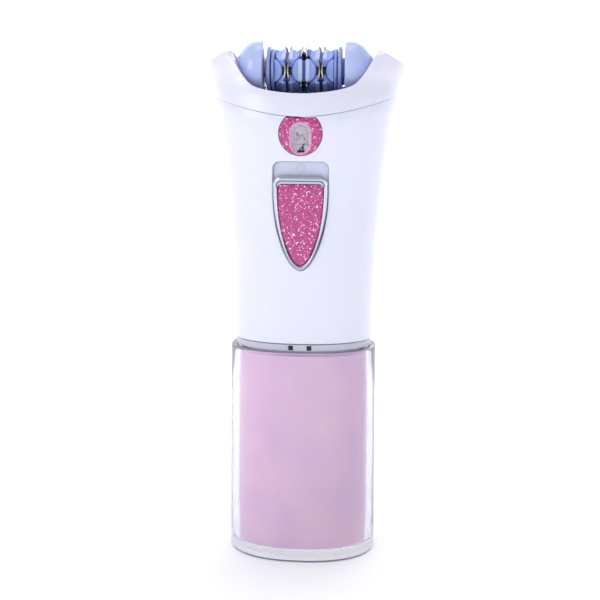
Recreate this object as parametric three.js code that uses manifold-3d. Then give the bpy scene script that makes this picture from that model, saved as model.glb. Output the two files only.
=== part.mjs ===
// Handheld battery epilator, standing upright on its battery cup.
// Millimetres, +Z up, front towards -Y, origin at the centre of the cup's underside.

import * as THREE from 'three';
import { mergeVertices } from 'three/addons/utils/BufferGeometryUtils.js';
import Module from 'manifold-3d';

const wasm = await Module();
wasm.setup();

// ---------------------------------------------------------------- driving dimensions

const CLEARANCE = 0.3; // gap between neighbouring pieces
const FIT = 0.1; // gap around a shaft, a screw or a rod in its bore
const OVAL_POWER = 2.25; // superellipse exponent of the cup and the handle
const OVAL_STEPS = 36; // points around an oval section

const CUP = { height: 60, topX: 20.5, baseX: 20.9, y: 15.5, wall: 2.1, floor: 2.8, bevel: 0.6 };
const INNER_CUP = { top: 58.9, wall: 1.1, floor: 1 };
const CELL = { radius: 7.15, length: 49.2, nubRadius: 2.7, nub: 1.2, x: 7.5 };
const CONTACT_THICKNESS = 0.4;
const CONTACT_PAD = { halfX: 3, halfY: 3, bowHalfX: 4.5 };
const BRIDGE = { pastCell: 4, halfY: 4 };

const NECK = { bottom: 60.3, top: 62.2, x: 19, y: 14, plugX: 16.3, plugY: 11.2, plugBottom: 57.4 };
const LATCH_WINDOW = { x: 2.5, z: 61.3, side: 1.35, depth: 3 };
const LEAD_HOLE = { halfX: 9, halfY: 1.5 };

const SHELL_WALL = 1.7;
const SHELL_BOTTOM = 62.5;
const SEAM = { centre: 123.2, edge: 128.7, edgeX: 25.1, power: 1.8, gap: 0.3 };
const COLLAR_TOP = 142;

// half width and half depth of the handle and collar at a few heights
const OUTLINE = [
  { z: 62, x: 19.3, y: 14.1 },
  { z: 76, x: 19.7, y: 14.4 },
  { z: 90, x: 20.2, y: 14.8 },
  { z: 103, x: 21.3, y: 15.3 },
  { z: 113, x: 22.4, y: 15.9 },
  { z: 122.5, x: 23.8, y: 16.4 },
  { z: 128, x: 24.9, y: 15.2 },
  { z: 132.5, x: 25.8, y: 13 },
  { z: 136.5, x: 27.1, y: 12.1 },
  { z: 142, x: 27.6, y: 10 },
];

const EAR = { innerX: 20.1, innerZ: 141.1, outerX: 27.2, outerZ: 137.2 };
const EAR_ARCH = { springZ: 128, halfY: 15.6, rise: 13.3 };
const MOUTH = { centreZ: 129.3, kneeX: 11, kneeZ: 130.6, shoulderX: 15.6, shoulderZ: 133.6 };

const DRUM_AXIS_Z = 135.5;
const AXLE = { radius: 1.5, halfLength: 16.6 };
const CHEEK = { inner: 11, crown: 12.6, outer: 19.1, radius: 8.1, wall: 1, chamfer: 0.5 };
const CHEEK_SLOT = { inner: 12, outer: 15.4, y: 5.4 };
const BUSH = { outer: 2.6, inner: 1.56, length: 1.1 };
const FLANGE = {
  inner: 8.1, outer: 10.7, innerPlate: 0.8, outerPlate: 1.5, innerRadius: 6.1, outerRadius: 6.6,
  hub: 3.6,
};
const BOSS = { radius: 3.3, reach: 5.6, pitch: 4.6, hub: 3.6, rows: 6 };
const RIB = { reach: 5.9, width: 0.85, halfLength: 3 }; // raised edge of a boss beside a blade slot
const SLOT_WIDTH = 1.2; // gap between drum segments that a pair of blades runs in
const BLADE = { thickness: 0.3, offset: 0.2, hub: 3.5, neck: 1.1, waist: 4.9, tip: 6.8, flare: 0.47 };
const PUSH_ROD = { radius: 0.4, ring: 2.6, halfLength: 7.6, clearance: 0.2 };
const TROUGH = {
  inner: 7.5, outer: 8.4, halfAngle: 0.467, halfLength: 10.7, ledgeX: 21.4, ledgeY: 12.4,
  ledge: 0.9,
};

// gear train, module 0.5, centred on the plane x = GEAR.x
const GEAR = { module: 0.5, x: -13.6, width: 2 };
const TEETH = { drum: 24, idler: 20, spur: 12, crown: 30, pinion: 10 };
// share of its space that a tooth fills, at the pitch circle, the root and the tip
const TOOTH = { thickness: 0.72, rootShare: 1.25, tipShare: 0.6, dedendum: 0.6, addendum: 0.45 };
const IDLER_HUB = { radius: 2, left: -1.2, right: 1.3 };
const IDLER_TIP = (GEAR.module * TEETH.idler) / 2 + TOOTH.addendum;
const IDLER_Z = DRUM_AXIS_Z - (GEAR.module * (TEETH.drum + TEETH.idler)) / 2;
const CROWN_Z = IDLER_Z - (GEAR.module * (TEETH.idler + TEETH.spur)) / 2;
const CROWN = { back: -4.6, face: -3.2, tips: -2.1, inner: 6.9, outer: 8.1, shaft: 1.5, right: 5.4 };
const PINION_Z = CROWN_Z - (GEAR.module * TEETH.crown) / 2;
const PINION = { tip: 2.9, root: 1.8, length: 2.6 };
const IDLER_PIN = { radius: 1, left: -16.2, right: -11.1 };

const MOTOR = {
  bottom: 80, top: 105, radius: 10, flat: 7.5, wall: 0.7, boss: 3, bossTop: 106.4, shaft: 1,
};
const END_CAP = { bottom: 78, top: 79.8 };
const MAGNET = { inner: 6.8, outer: 9.1, halfAngle: 0.62, bottom: 83, top: 101 };
const ARMATURE = { radius: 6.2, bottom: 84, top: 99, poles: 3, slotRadius: 1.8, slotCentre: 5.6 };
const SHAFT_BOTTOM = 77.5;
const FRAME = { plate: 1.2, leftX: -12.2, rightX: 4, y: 5.2, leftTop: 126.8, rightTop: 119.6 };

const LENS = { z: 119, radius: 5.8, depth: 1.5, windowX: 2.5, windowTop: 121.6, windowBottom: 113.9 };
const LED = { radius: 2, bottom: 115.5, top: 121.1, y: -13.75, flange: 2.25, flangeHeight: 0.7 };

const SHIELD = { bottom: 82.8, shoulder: 103.2, top: 107.9, halfWidth: 7.2, corner: 1.9 };
const SWITCH_TRAVEL = 3.5;
const SWITCH = { proud: 0.8, rim: 1.1, bar: 2.2, panelDepth: 1, panel: 1, seat: 0.45 };
const INLAY = { proud: 0.55, seat: 0.06, gap: 0.08 };
const BOARD = { y: -10.2, thickness: 1, halfWidth: 9.5, bottom: 76, top: 104 };
const SLIDE_SWITCH = { halfX: 4, depth: 0.9, bottom: 90, top: 102 };
const RESISTOR = { radius: 0.8, halfLength: 1.6, z: 79 };
const GUIDE = { halfX: 2.4, bottom: 91.5, top: 104 };
const CARRIER = {
  neckX: 2, neckFront: -14.1, neckBack: -12.2, neckBottom: 92, neckTop: 99,
  plateX: 3.6, plateFront: -12.3, plateBack: -11.7, plateBottom: 90.5, plateTop: 100.5,
};

// right-hand lead from the neck to the motor's end cap
const LEAD = { radius: 0.5, path: [[6, 0, 63.2], [6, 1.5, 68], [4, 3, 73], [5, 2, 77]] };
const SCREW = { head: 2, headHeight: 1.2, shank: 0.9, length: 5, seatY: 12.6, heights: [72, 110] };
const SCREW_BOSS = { radius: 3.4, innerY: 8.8 };

// ---------------------------------------------------------------- materials

const finish = (color, roughness, metalness = 0) =>
  new THREE.MeshStandardMaterial({ color, roughness, metalness });

const WHITE_GLOSS = () => finish(0xe9ebf6, 0.18);
const GREY_PLASTIC = () => finish(0xc8cad8, 0.35);
const BLUE_PLASTIC = () => finish(0x8fa2e4, 0.3);
const PALE_BLUE = () => finish(0xb9c6f6, 0.25);
const PINK_PLASTIC = () => finish(0xe9c3e2, 0.4);
const PINK_GLITTER = () => finish(0xbe5591, 0.3);
const CLEAR_PLASTIC = () => finish(0xeef0f8, 0.05);
const STEEL = () => finish(0xb4b8c4, 0.3, 0.9);
const CHROME = () => finish(0xd0d4e0, 0.08, 1);
const BRASS = () => finish(0xc9a254, 0.35, 0.9);
const BOARD_GREEN = () => finish(0x3d7a4a, 0.5);
const GEAR_NYLON = () => finish(0xf0ece0, 0.45);

// ---------------------------------------------------------------- solids

const FAR = 60; // further than any surface of the handle, for cutting prisms
const ROUND_STEPS = 20;

// A closed geometry as a solid that can be joined and cut.
function toSolid(geometry) {
  geometry.deleteAttribute('normal');
  geometry.deleteAttribute('uv');
  const merged = mergeVertices(geometry, 1e-4);
  const corners = merged.index.array;
  const kept = [];
  for (let i = 0; i < corners.length; i += 3) {
    const [a, b, c] = [corners[i], corners[i + 1], corners[i + 2]];
    if (a !== b && b !== c && a !== c) kept.push(a, b, c);
  }
  const mesh = new wasm.Mesh({
    numProp: 3,
    vertProperties: Float32Array.from(merged.attributes.position.array),
    triVerts: Uint32Array.from(kept),
  });
  return new wasm.Manifold(mesh);
}

function toGeometry(solid) {
  const { vertProperties, triVerts } = solid.getMesh();
  const geometry = new THREE.BufferGeometry();
  geometry.setAttribute('position', new THREE.BufferAttribute(vertProperties, 3));
  geometry.setIndex(new THREE.BufferAttribute(triVerts, 1));
  geometry.computeVertexNormals();
  return geometry;
}

function join(solids) {
  return solids.reduce((whole, next) => whole.add(next));
}

function cut(solid, tools) {
  return tools.reduce((rest, tool) => rest.subtract(tool), solid);
}

function box([x0, x1], [y0, y1], [z0, z1]) {
  const geometry = new THREE.BoxGeometry(x1 - x0, y1 - y0, z1 - z0);
  geometry.translate((x0 + x1) / 2, (y0 + y1) / 2, (z0 + z1) / 2);
  return toSolid(geometry);
}

// Frames that lay a drawing's x, y and depth along the axes of the part.
const FACING = {
  x: new THREE.Matrix4().makeBasis(
    new THREE.Vector3(0, 1, 0), new THREE.Vector3(0, 0, 1), new THREE.Vector3(1, 0, 0)),
  y: new THREE.Matrix4().makeBasis(
    new THREE.Vector3(-1, 0, 0), new THREE.Vector3(0, 0, 1), new THREE.Vector3(0, 1, 0)),
  z: new THREE.Matrix4(),
};

// Shape drawn in the plane across an axis, extruded along it.
// Across x the drawing is (y, z), across y it is (-x, z) and across z it is (x, y).
function prism(shape, axis, from, to, centre = [0, 0, 0], curveSegments = 6) {
  const geometry = new THREE.ExtrudeGeometry(shape, {
    depth: to - from,
    bevelEnabled: false,
    curveSegments,
  });
  geometry.translate(0, 0, from);
  geometry.applyMatrix4(FACING[axis]);
  geometry.translate(...centre);
  return toSolid(geometry);
}

function rod(axis, radius, from, to, centre = [0, 0, 0], steps = ROUND_STEPS) {
  const geometry = new THREE.CylinderGeometry(radius, radius, to - from, steps);
  geometry.rotateX(Math.PI / 2);
  geometry.translate(0, 0, (from + to) / 2);
  geometry.applyMatrix4(FACING[axis]);
  geometry.translate(...centre);
  return toSolid(geometry);
}

// Profile of [radius, height] pairs, going up its outside, turned about an axis.
function turned(profile, axis, centre = [0, 0, 0], steps = ROUND_STEPS) {
  const points = profile.map(([radius, height]) => new THREE.Vector2(radius, height));
  const geometry = new THREE.LatheGeometry(points, steps);
  geometry.rotateX(Math.PI / 2);
  geometry.applyMatrix4(FACING[axis]);
  geometry.translate(...centre);
  return toSolid(geometry);
}

function ring(axis, inner, outer, from, to, centre) {
  const profile = [[inner, from], [outer, from], [outer, to], [inner, to], [inner, from]];
  return turned(profile, axis, centre, 14);
}

// Superellipse section at one height.
function oval(halfX, halfY, z) {
  const points = [];
  for (let i = 0; i < OVAL_STEPS; i += 1) {
    const angle = (i / OVAL_STEPS) * 2 * Math.PI;
    const along = (cosine) => Math.sign(cosine) * Math.abs(cosine) ** (2 / OVAL_POWER);
    points.push([halfX * along(Math.cos(angle)), halfY * along(Math.sin(angle)), z]);
  }
  return points;
}

// Closed body through oval sections, from the lowest to the highest.
function loft(sections) {
  const count = sections[0].length;
  const positions = sections.flat(2);
  const index = [];
  for (let level = 0; level < sections.length - 1; level += 1) {
    for (let i = 0; i < count; i += 1) {
      const a = level * count + i;
      const b = level * count + ((i + 1) % count);
      index.push(a, b, b + count, a, b + count, a + count);
    }
  }
  const top = (sections.length - 1) * count;
  for (let i = 1; i < count - 1; i += 1) {
    index.push(0, i + 1, i);
    index.push(top, top + i, top + i + 1);
  }
  const geometry = new THREE.BufferGeometry();
  geometry.setAttribute('position', new THREE.Float32BufferAttribute(positions, 3));
  geometry.setIndex(index);
  return toSolid(geometry);
}

function ovalBlock(halfX, halfY, from, to) {
  return loft([oval(halfX, halfY, from), oval(halfX, halfY, to)]);
}

// ---------------------------------------------------------------- outside of the handle

// Value of one column of OUTLINE at a height, on a smooth curve through its rows.
function outlineAt(column, z) {
  const last = OUTLINE.length - 1;
  const above = OUTLINE.findIndex((row) => row.z > z);
  const low = above < 0 ? last - 1 : Math.max(above - 1, 0);
  const slope = (k) => {
    const before = OUTLINE[Math.max(k - 1, 0)];
    const after = OUTLINE[Math.min(k + 1, last)];
    return (after[column] - before[column]) / (after.z - before.z);
  };
  const [a, b] = [OUTLINE[low], OUTLINE[low + 1]];
  const span = b.z - a.z;
  const t = (z - a.z) / span;
  return (
    a[column] * (1 + 2 * t) * (1 - t) ** 2 +
    slope(low) * span * t * (1 - t) ** 2 +
    b[column] * t * t * (3 - 2 * t) +
    slope(low + 1) * span * t * t * (t - 1)
  );
}

// Everything inside the handle's outside, grown by an offset, between two heights.
function handleBody(offset, from, to, levels) {
  const sections = [];
  for (let i = 0; i <= levels; i += 1) {
    const z = from + ((to - from) * i) / levels;
    sections.push(oval(outlineAt('x', z) + offset, outlineAt('y', z) + offset, z));
  }
  return loft(sections);
}

// A skin of the handle between an outer and an inner offset.
function handleSkin(outer, inner, from, to, levels) {
  return handleBody(outer, from, to, levels).subtract(handleBody(inner, from - 1, to + 1, levels));
}

// Everything above the seam between the handle and the head, raised by an offset.
function aboveSeam(offset) {
  const shape = new THREE.Shape();
  const steps = 24;
  const reach = SEAM.edgeX + 5;
  shape.moveTo(reach, FAR * 3);
  shape.lineTo(-reach, FAR * 3);
  for (let i = 0; i <= steps; i += 1) {
    const x = -reach + (2 * reach * i) / steps;
    const rise = (SEAM.edge - SEAM.centre) * Math.abs(x / SEAM.edgeX) ** SEAM.power;
    shape.lineTo(x, SEAM.centre + rise + offset);
  }
  return prism(shape, 'y', -FAR, FAR);
}

// ---------------------------------------------------------------- nodes

function piece(name, solid, material) {
  const mesh = new THREE.Mesh(toGeometry(solid), material);
  mesh.name = name;
  return mesh;
}

function group(...pieces) {
  return new THREE.Group().add(...pieces.flat());
}

// ---------------------------------------------------------------- battery cup

const INNER_CUP_GROWTH = -(CUP.wall + CLEARANCE);
const INNER_CUP_BOTTOM = CUP.floor + CLEARANCE;
const CELL_BOTTOM = INNER_CUP_BOTTOM + INNER_CUP.floor + 2 * CLEARANCE + CONTACT_THICKNESS;

// Tapered oval block of the cup's outline, grown by an offset.
function cupBlock(growth, from, to, bevel = 0) {
  const halfX = (z) => CUP.baseX + ((CUP.topX - CUP.baseX) * z) / CUP.height + growth;
  const halfY = CUP.y + growth;
  return loft([
    oval(halfX(from) - bevel, halfY - bevel, from),
    oval(halfX(from), halfY, from + bevel + 0.01),
    oval(halfX(to), halfY, to - bevel - 0.01),
    oval(halfX(to) - bevel, halfY - bevel, to),
  ]);
}

function clearCup() {
  const hollow = cupBlock(-CUP.wall, CUP.floor, CUP.height + 1);
  return cupBlock(0, 0, CUP.height, CUP.bevel).subtract(hollow);
}

function innerCup() {
  const hollow = cupBlock(
    INNER_CUP_GROWTH - INNER_CUP.wall, INNER_CUP_BOTTOM + INNER_CUP.floor, CUP.height);
  return cupBlock(INNER_CUP_GROWTH, INNER_CUP_BOTTOM, INNER_CUP.top).subtract(hollow);
}

// AA cell with its nub at the top (up = 1) or at the bottom (up = -1).
function cell(x, up) {
  const middle = CELL_BOTTOM + (CELL.length + CELL.nub) / 2;
  const half = CELL.length / 2;
  const shift = (-up * CELL.nub) / 2;
  const nubEnd = up * (half + CELL.nub);
  const nubStart = up * (half - 1);
  const body = rod('z', CELL.radius, -half, half, [x, 0, middle + shift]);
  const [low, high] = [Math.min(nubStart, nubEnd), Math.max(nubStart, nubEnd)];
  return body.add(rod('z', CELL.nubRadius, low, high, [x, 0, middle + shift], 16));
}

function bridgeContact() {
  const from = INNER_CUP_BOTTOM + INNER_CUP.floor + CLEARANCE;
  const halfX = CELL.x + BRIDGE.pastCell;
  return box([-halfX, halfX], [-BRIDGE.halfY, BRIDGE.halfY], [from, from + CONTACT_THICKNESS]);
}

function batteryCup() {
  return group(
    piece('clear_cup', clearCup(), CLEAR_PLASTIC()),
    piece('inner_cup', innerCup(), PINK_PLASTIC()),
    piece('battery_left', cell(-CELL.x, 1), STEEL()),
    piece('battery_right', cell(CELL.x, -1), STEEL()),
    piece('bridge_contact', bridgeContact(), BRASS()),
  );
}

// ---------------------------------------------------------------- handle: neck and shells

const CELL_TOP = CELL_BOTTOM + CELL.length + CELL.nub;

// Flange between cup and shells, with a plug that enters the cup and two latch windows.
function neckRing() {
  const flange = ovalBlock(NECK.x, NECK.y, NECK.bottom, NECK.top);
  const plug = ovalBlock(NECK.plugX, NECK.plugY, NECK.plugBottom, NECK.bottom + 0.5);
  const half = LATCH_WINDOW.side / 2;
  const windows = [-1, 1].map((side) => box(
    [side * LATCH_WINDOW.x - half, side * LATCH_WINDOW.x + half],
    [-NECK.y - 1, -NECK.y + LATCH_WINDOW.depth],
    [LATCH_WINDOW.z - half, LATCH_WINDOW.z + half]));
  const leadHole = box(
    [-LEAD_HOLE.halfX, LEAD_HOLE.halfX], [-LEAD_HOLE.halfY, LEAD_HOLE.halfY],
    [NECK.plugBottom - 1, NECK.top + 1]);
  return cut(flange.add(plug), [...windows, leadHole]);
}

// Bowed leaf that presses on the right-hand cell.
function contactSpring() {
  const [bottom, top] = [CELL_TOP + CLEARANCE, NECK.plugBottom - CLEARANCE];
  const rise = top - bottom - CONTACT_THICKNESS;
  const shares = [-1, -0.75, -0.5, -0.25, 0, 0.25, 0.5, 0.75, 1];
  const under = shares.map(
    (share) => [share * CONTACT_PAD.bowHalfX, bottom + rise * share ** 2]);
  const over = under.map(([x, z]) => [x, z + CONTACT_THICKNESS]).reverse();
  const shape = new THREE.Shape([...under, ...over].map(([x, z]) => new THREE.Vector2(x, z)));
  return prism(shape, 'y', -CONTACT_PAD.halfY, CONTACT_PAD.halfY, [CELL.x, 0, 0]);
}

function contactTab() {
  const top = NECK.plugBottom - CLEARANCE;
  const { halfX, halfY } = CONTACT_PAD;
  return box([-CELL.x - halfX, -CELL.x + halfX], [-halfY, halfY], [top - CONTACT_THICKNESS, top]);
}

// Straight-topped shield that narrows to a tip below its shoulder.
function shieldShape({ bottom, top, halfWidth }) {
  const { shoulder, corner } = SHIELD;
  const steps = 9;
  const side = [];
  for (let i = 0; i <= steps; i += 1) {
    const share = 0.5 - 0.5 * Math.cos((Math.PI * i) / steps);
    const width = halfWidth * (1 - (1 - share) ** 1.8) ** 0.56;
    side.push([width, bottom + (shoulder - bottom) * share]);
  }
  const shape = new THREE.Shape();
  shape.moveTo(...side[0]);
  side.slice(1).forEach(([x, z]) => shape.lineTo(x, z));
  shape.lineTo(halfWidth, top - corner);
  shape.quadraticCurveTo(halfWidth, top, halfWidth - corner, top);
  shape.lineTo(-halfWidth + corner, top);
  shape.quadraticCurveTo(-halfWidth, top, -halfWidth, top - corner);
  side.slice(1).reverse().forEach(([x, z]) => shape.lineTo(-x, z));
  shape.closePath();
  return shape;
}

// Prism through the front wall of the handle.
function throughFront(shape) {
  return prism(shape, 'y', -FAR, 0, [0, 0, 0], 8);
}

const SLOT_TOP = SHIELD.top + SWITCH_TRAVEL + 0.3;

const slotPrism = (growth) => throughFront(shieldShape({
  bottom: SHIELD.bottom - 0.4 - growth,
  top: SLOT_TOP + growth,
  halfWidth: SHIELD.halfWidth + 0.35 + growth,
}));

const lensPrism = (radius) => throughFront(
  new THREE.Shape().absarc(0, LENS.z, radius, 0, 2 * Math.PI));

// Upright slot shape with round ends.
function capsuleShape(halfWidth, bottom, top) {
  const shape = new THREE.Shape();
  shape.absarc(0, top - halfWidth, halfWidth, 0, Math.PI);
  shape.absarc(0, bottom + halfWidth, halfWidth, Math.PI, 2 * Math.PI);
  return shape;
}

// Whole handle casing, before it is split into its front and rear shells.
function casing() {
  const levels = 8;
  const skin = handleSkin(0, -SHELL_WALL, SHELL_BOTTOM, SEAM.edge + 2, levels);
  return skin.subtract(aboveSeam(0));
}

function frontShell() {
  const half = box([-FAR, FAR], [-FAR, -CLEARANCE / 2], [0, 3 * FAR]);
  return cut(casing().intersect(half), [slotPrism(0), lensPrism(LENS.radius + CLEARANCE / 2)]);
}

function screwBoss(z) {
  const post = rod('y', SCREW_BOSS.radius, SCREW_BOSS.innerY, FAR, [0, 0, z]);
  return post.intersect(handleBody(-SHELL_WALL / 2, z - 4, z + 4, 1));
}

function rearShell() {
  const half = box([-FAR, FAR], [CLEARANCE / 2, FAR], [0, 3 * FAR]);
  const shell = casing().intersect(half);
  const bosses = SCREW.heights.map(screwBoss);
  const bores = SCREW.heights.flatMap((z) => [
    rod('y', SCREW.head + CLEARANCE, SCREW.seatY, FAR, [0, 0, z]),
    rod('y', SCREW.shank + FIT, 0, FAR, [0, 0, z], 12),
  ]);
  return cut(join([shell, ...bosses]), bores);
}

function casingScrew(z) {
  const seat = SCREW.seatY + FIT / 2;
  const head = rod('y', SCREW.head, seat, seat + SCREW.headHeight, [0, 0, z]);
  const shank = rod('y', SCREW.shank, seat - SCREW.length, seat + SCREW.headHeight / 2, [0, 0, z], 12);
  return head.add(shank);
}

// ---------------------------------------------------------------- handle: lamp

function ledLens() {
  const pane = handleSkin(0, -LENS.depth, LENS.z - 8, LENS.z + 8, 6);
  const disc = pane.intersect(lensPrism(LENS.radius - CLEARANCE / 2));
  const opening = capsuleShape(LENS.windowX, LENS.windowBottom, LENS.windowTop);
  return cut(disc, [aboveSeam(-CLEARANCE), throughFront(opening)]);
}

const REFLECTOR = { wall: 0.7, front: -14, back: -10.8, floor: 0.5 };

function ledReflector() {
  const { wall, front, back, floor } = REFLECTOR;
  const outer = capsuleShape(LENS.windowX + wall, LENS.windowBottom - wall, LENS.windowTop + wall);
  const inner = capsuleShape(LENS.windowX, LENS.windowBottom, LENS.windowTop);
  return prism(outer, 'y', front, back).subtract(prism(inner, 'y', front - 1, back - floor));
}

function ledBulb() {
  const shoulder = LED.top - LED.radius;
  const flangeTop = LED.bottom + LED.flangeHeight;
  const profile = [
    [0, LED.bottom],
    [LED.flange, LED.bottom],
    [LED.flange, flangeTop],
    [LED.radius, flangeTop],
    [LED.radius, shoulder],
  ];
  for (let i = 1; i <= 5; i += 1) {
    const angle = (i / 5) * (Math.PI / 2);
    const radius = i === 5 ? 0 : LED.radius * Math.cos(angle);
    profile.push([radius, shoulder + LED.radius * Math.sin(angle)]);
  }
  return turned(profile, 'z', [0, LED.y, 0], 16);
}

// ---------------------------------------------------------------- handle: electrics

function circuitBoard() {
  return box(
    [-BOARD.halfWidth, BOARD.halfWidth],
    [BOARD.y - BOARD.thickness / 2, BOARD.y + BOARD.thickness / 2],
    [BOARD.bottom, BOARD.top]);
}

const BOARD_FACE = BOARD.y - BOARD.thickness / 2 - FIT / 2;

function slideSwitchBody() {
  const { halfX, depth, bottom, top } = SLIDE_SWITCH;
  return box([-halfX, halfX], [BOARD_FACE - depth, BOARD_FACE], [bottom, top]);
}

function resistor() {
  const { radius, halfLength, z } = RESISTOR;
  return rod('x', radius, -halfLength, halfLength, [0, BOARD_FACE - radius - FIT / 2, z], 10);
}

const inMotorOutline = (radius, half, from, to) =>
  rod('z', radius, from, to).intersect(box([-FAR, FAR], [-half, half], [from, to]));

function motorCan() {
  const { radius, flat, wall, bottom, top, bossTop } = MOTOR;
  const boss = rod('z', MOTOR.boss, top - wall, bossTop, [0, 0, 0], 16);
  const can = inMotorOutline(radius, flat, bottom, top).add(boss);
  const cavity = inMotorOutline(radius - wall, flat - wall, bottom - 1, top - wall);
  return cut(can, [cavity, rod('z', MOTOR.shaft + FIT, bottom, bossTop + 1, [0, 0, 0], 16)]);
}

function motorEndCap() {
  const plate = inMotorOutline(MOTOR.radius, MOTOR.flat, END_CAP.bottom, END_CAP.top);
  return plate.subtract(rod('z', MOTOR.shaft + FIT, 0, MOTOR.top, [0, 0, 0], 16));
}

function motorMagnet(side) {
  const { inner, outer, halfAngle, bottom, top } = MAGNET;
  const middle = side > 0 ? 0 : Math.PI;
  const shape = new THREE.Shape();
  shape.absarc(0, 0, outer, middle - halfAngle, middle + halfAngle);
  shape.absarc(0, 0, inner, middle + halfAngle, middle - halfAngle, true);
  return prism(shape, 'z', bottom, top);
}

// Shaft with its three-pole armature.
function motorRotor() {
  const { radius, bottom, top, poles, slotRadius, slotCentre } = ARMATURE;
  const slots = [];
  for (let i = 0; i < poles; i += 1) {
    const angle = ((i + 0.25) * 2 * Math.PI) / poles;
    const centre = [slotCentre * Math.cos(angle), slotCentre * Math.sin(angle), 0];
    slots.push(rod('z', slotRadius, 0, 3 * FAR, centre, 10));
  }
  const shaft = rod('z', MOTOR.shaft, SHAFT_BOTTOM, PINION_Z + 2, [0, 0, 0], 12);
  return cut(rod('z', radius, bottom, top), slots).add(shaft);
}

// Lead on one side; the left-hand one is the right-hand one turned half round.
function lead(side) {
  const points = LEAD.path.map(([x, y, z]) => new THREE.Vector3(side * x, side * y, z));
  const section = new THREE.Shape().absarc(0, 0, LEAD.radius, 0, 2 * Math.PI);
  return toSolid(new THREE.ExtrudeGeometry(section, {
    extrudePath: new THREE.CatmullRomCurve3(points),
    steps: 10,
    curveSegments: 4,
    bevelEnabled: false,
  }));
}

// ---------------------------------------------------------------- switch

function switchPanel() {
  const outer = -SWITCH.panelDepth;
  const skin = handleSkin(outer, outer - SWITCH.panel, SHIELD.bottom - 4, SLOT_TOP + 4, 8);
  const guide = box([-GUIDE.halfX, GUIDE.halfX], [-FAR, 0], [GUIDE.bottom, GUIDE.top]);
  return cut(skin.intersect(slotPrism(-0.2)), [guide]);
}

const shieldPrism = (growth, top) => throughFront(shieldShape({
  bottom: SHIELD.bottom - growth,
  top,
  halfWidth: SHIELD.halfWidth + growth,
}));

const inlayPrism = (growth) => shieldPrism(growth - SWITCH.rim, SHIELD.top - SWITCH.bar + growth);

function switchFrame() {
  const { proud, seat } = SWITCH;
  const skin = handleSkin(proud, -seat, SHIELD.bottom - 3, SHIELD.top + 3, 8);
  const pocket = handleBody(proud + 2, SHIELD.bottom - 4, SHIELD.top + 4, 8)
    .subtract(handleBody(0, SHIELD.bottom - 5, SHIELD.top + 5, 8));
  return skin.intersect(shieldPrism(0, SHIELD.top)).subtract(pocket.intersect(inlayPrism(0)));
}

function switchInlay() {
  const skin = handleSkin(INLAY.proud, INLAY.seat, SHIELD.bottom - 3, SHIELD.top + 3, 8);
  return skin.intersect(inlayPrism(-INLAY.gap));
}

// Block behind the panel that carries the slider and works the switch on the board.
function switchCarrier() {
  const { neckX, neckFront, neckBack, neckBottom, neckTop } = CARRIER;
  const { plateX, plateFront, plateBack, plateBottom, plateTop } = CARRIER;
  const neck = box([-neckX, neckX], [neckFront, neckBack], [neckBottom, neckTop]);
  return neck.add(box([-plateX, plateX], [plateFront, plateBack], [plateBottom, plateTop]));
}

// ---------------------------------------------------------------- gear train

// Gear outline, with one tooth centred on the phase angle.
function gearShape(teeth, root, tip, phase) {
  const pitchHalf = (Math.PI / 2 / teeth) * TOOTH.thickness;
  const shape = new THREE.Shape();
  for (let i = 0; i < teeth; i += 1) {
    const middle = phase + (i * 2 * Math.PI) / teeth;
    const corners = [
      [root, -TOOTH.rootShare], [tip, -TOOTH.tipShare],
      [tip, TOOTH.tipShare], [root, TOOTH.rootShare],
    ];
    corners.forEach(([radius, share], k) => {
      const angle = middle + share * pitchHalf;
      const [x, y] = [radius * Math.cos(angle), radius * Math.sin(angle)];
      if (i === 0 && k === 0) shape.moveTo(x, y);
      else shape.lineTo(x, y);
    });
  }
  shape.closePath();
  return shape;
}

// Module-size spur gear across x, at a height, in the gear plane.
function spurGear(teeth, z, phase) {
  const pitch = (GEAR.module * teeth) / 2;
  const shape = gearShape(teeth, pitch - TOOTH.dedendum, pitch + TOOTH.addendum, phase);
  return prism(shape, 'x', GEAR.x - GEAR.width / 2, GEAR.x + GEAR.width / 2, [0, 0, z]);
}

const UP = Math.PI / 2;
const DOWN = -UP;
const halfTooth = (teeth) => Math.PI / teeth;

function drumGear() {
  return spurGear(TEETH.drum, DRUM_AXIS_Z, DOWN).subtract(axleBore());
}

function idlerGear() {
  const { radius, left, right } = IDLER_HUB;
  const hub = rod('x', radius, GEAR.x + left, GEAR.x + right, [0, 0, IDLER_Z], 16);
  const bore = rod('x', IDLER_PIN.radius + FIT, -FAR, FAR, [0, 0, IDLER_Z], 16);
  return spurGear(TEETH.idler, IDLER_Z, UP + halfTooth(TEETH.idler)).add(hub).subtract(bore);
}

// Crown wheel, its shaft and the spur pinion on the shaft's other end, in one moulding.
function crownGear() {
  const centre = [0, 0, CROWN_Z];
  const disc = rod('x', CROWN.outer + FIT, CROWN.back, CROWN.face, centre, 30);
  const phase = DOWN + halfTooth(TEETH.crown);
  const star = prism(
    gearShape(TEETH.crown, CROWN.inner - 0.3, CROWN.outer, phase),
    'x', CROWN.face - 0.3, CROWN.tips, centre);
  const teeth = star.subtract(rod('x', CROWN.inner, CROWN.back, FAR, centre, 30));
  const shaft = rod('x', CROWN.shaft, GEAR.x, CROWN.right, centre, 16);
  return join([disc, teeth, shaft, spurGear(TEETH.spur, CROWN_Z, UP)]);
}

function motorPinion() {
  const half = PINION.length / 2;
  const shape = gearShape(TEETH.pinion, PINION.root, PINION.tip, Math.PI);
  const gear = prism(shape, 'z', PINION_Z - half, PINION_Z + half);
  return gear.subtract(rod('z', MOTOR.shaft + 0.05, 0, 3 * FAR, [0, 0, 0], 12));
}

function idlerPin() {
  return rod('x', IDLER_PIN.radius, IDLER_PIN.left, IDLER_PIN.right, [0, 0, IDLER_Z], 16);
}

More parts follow.
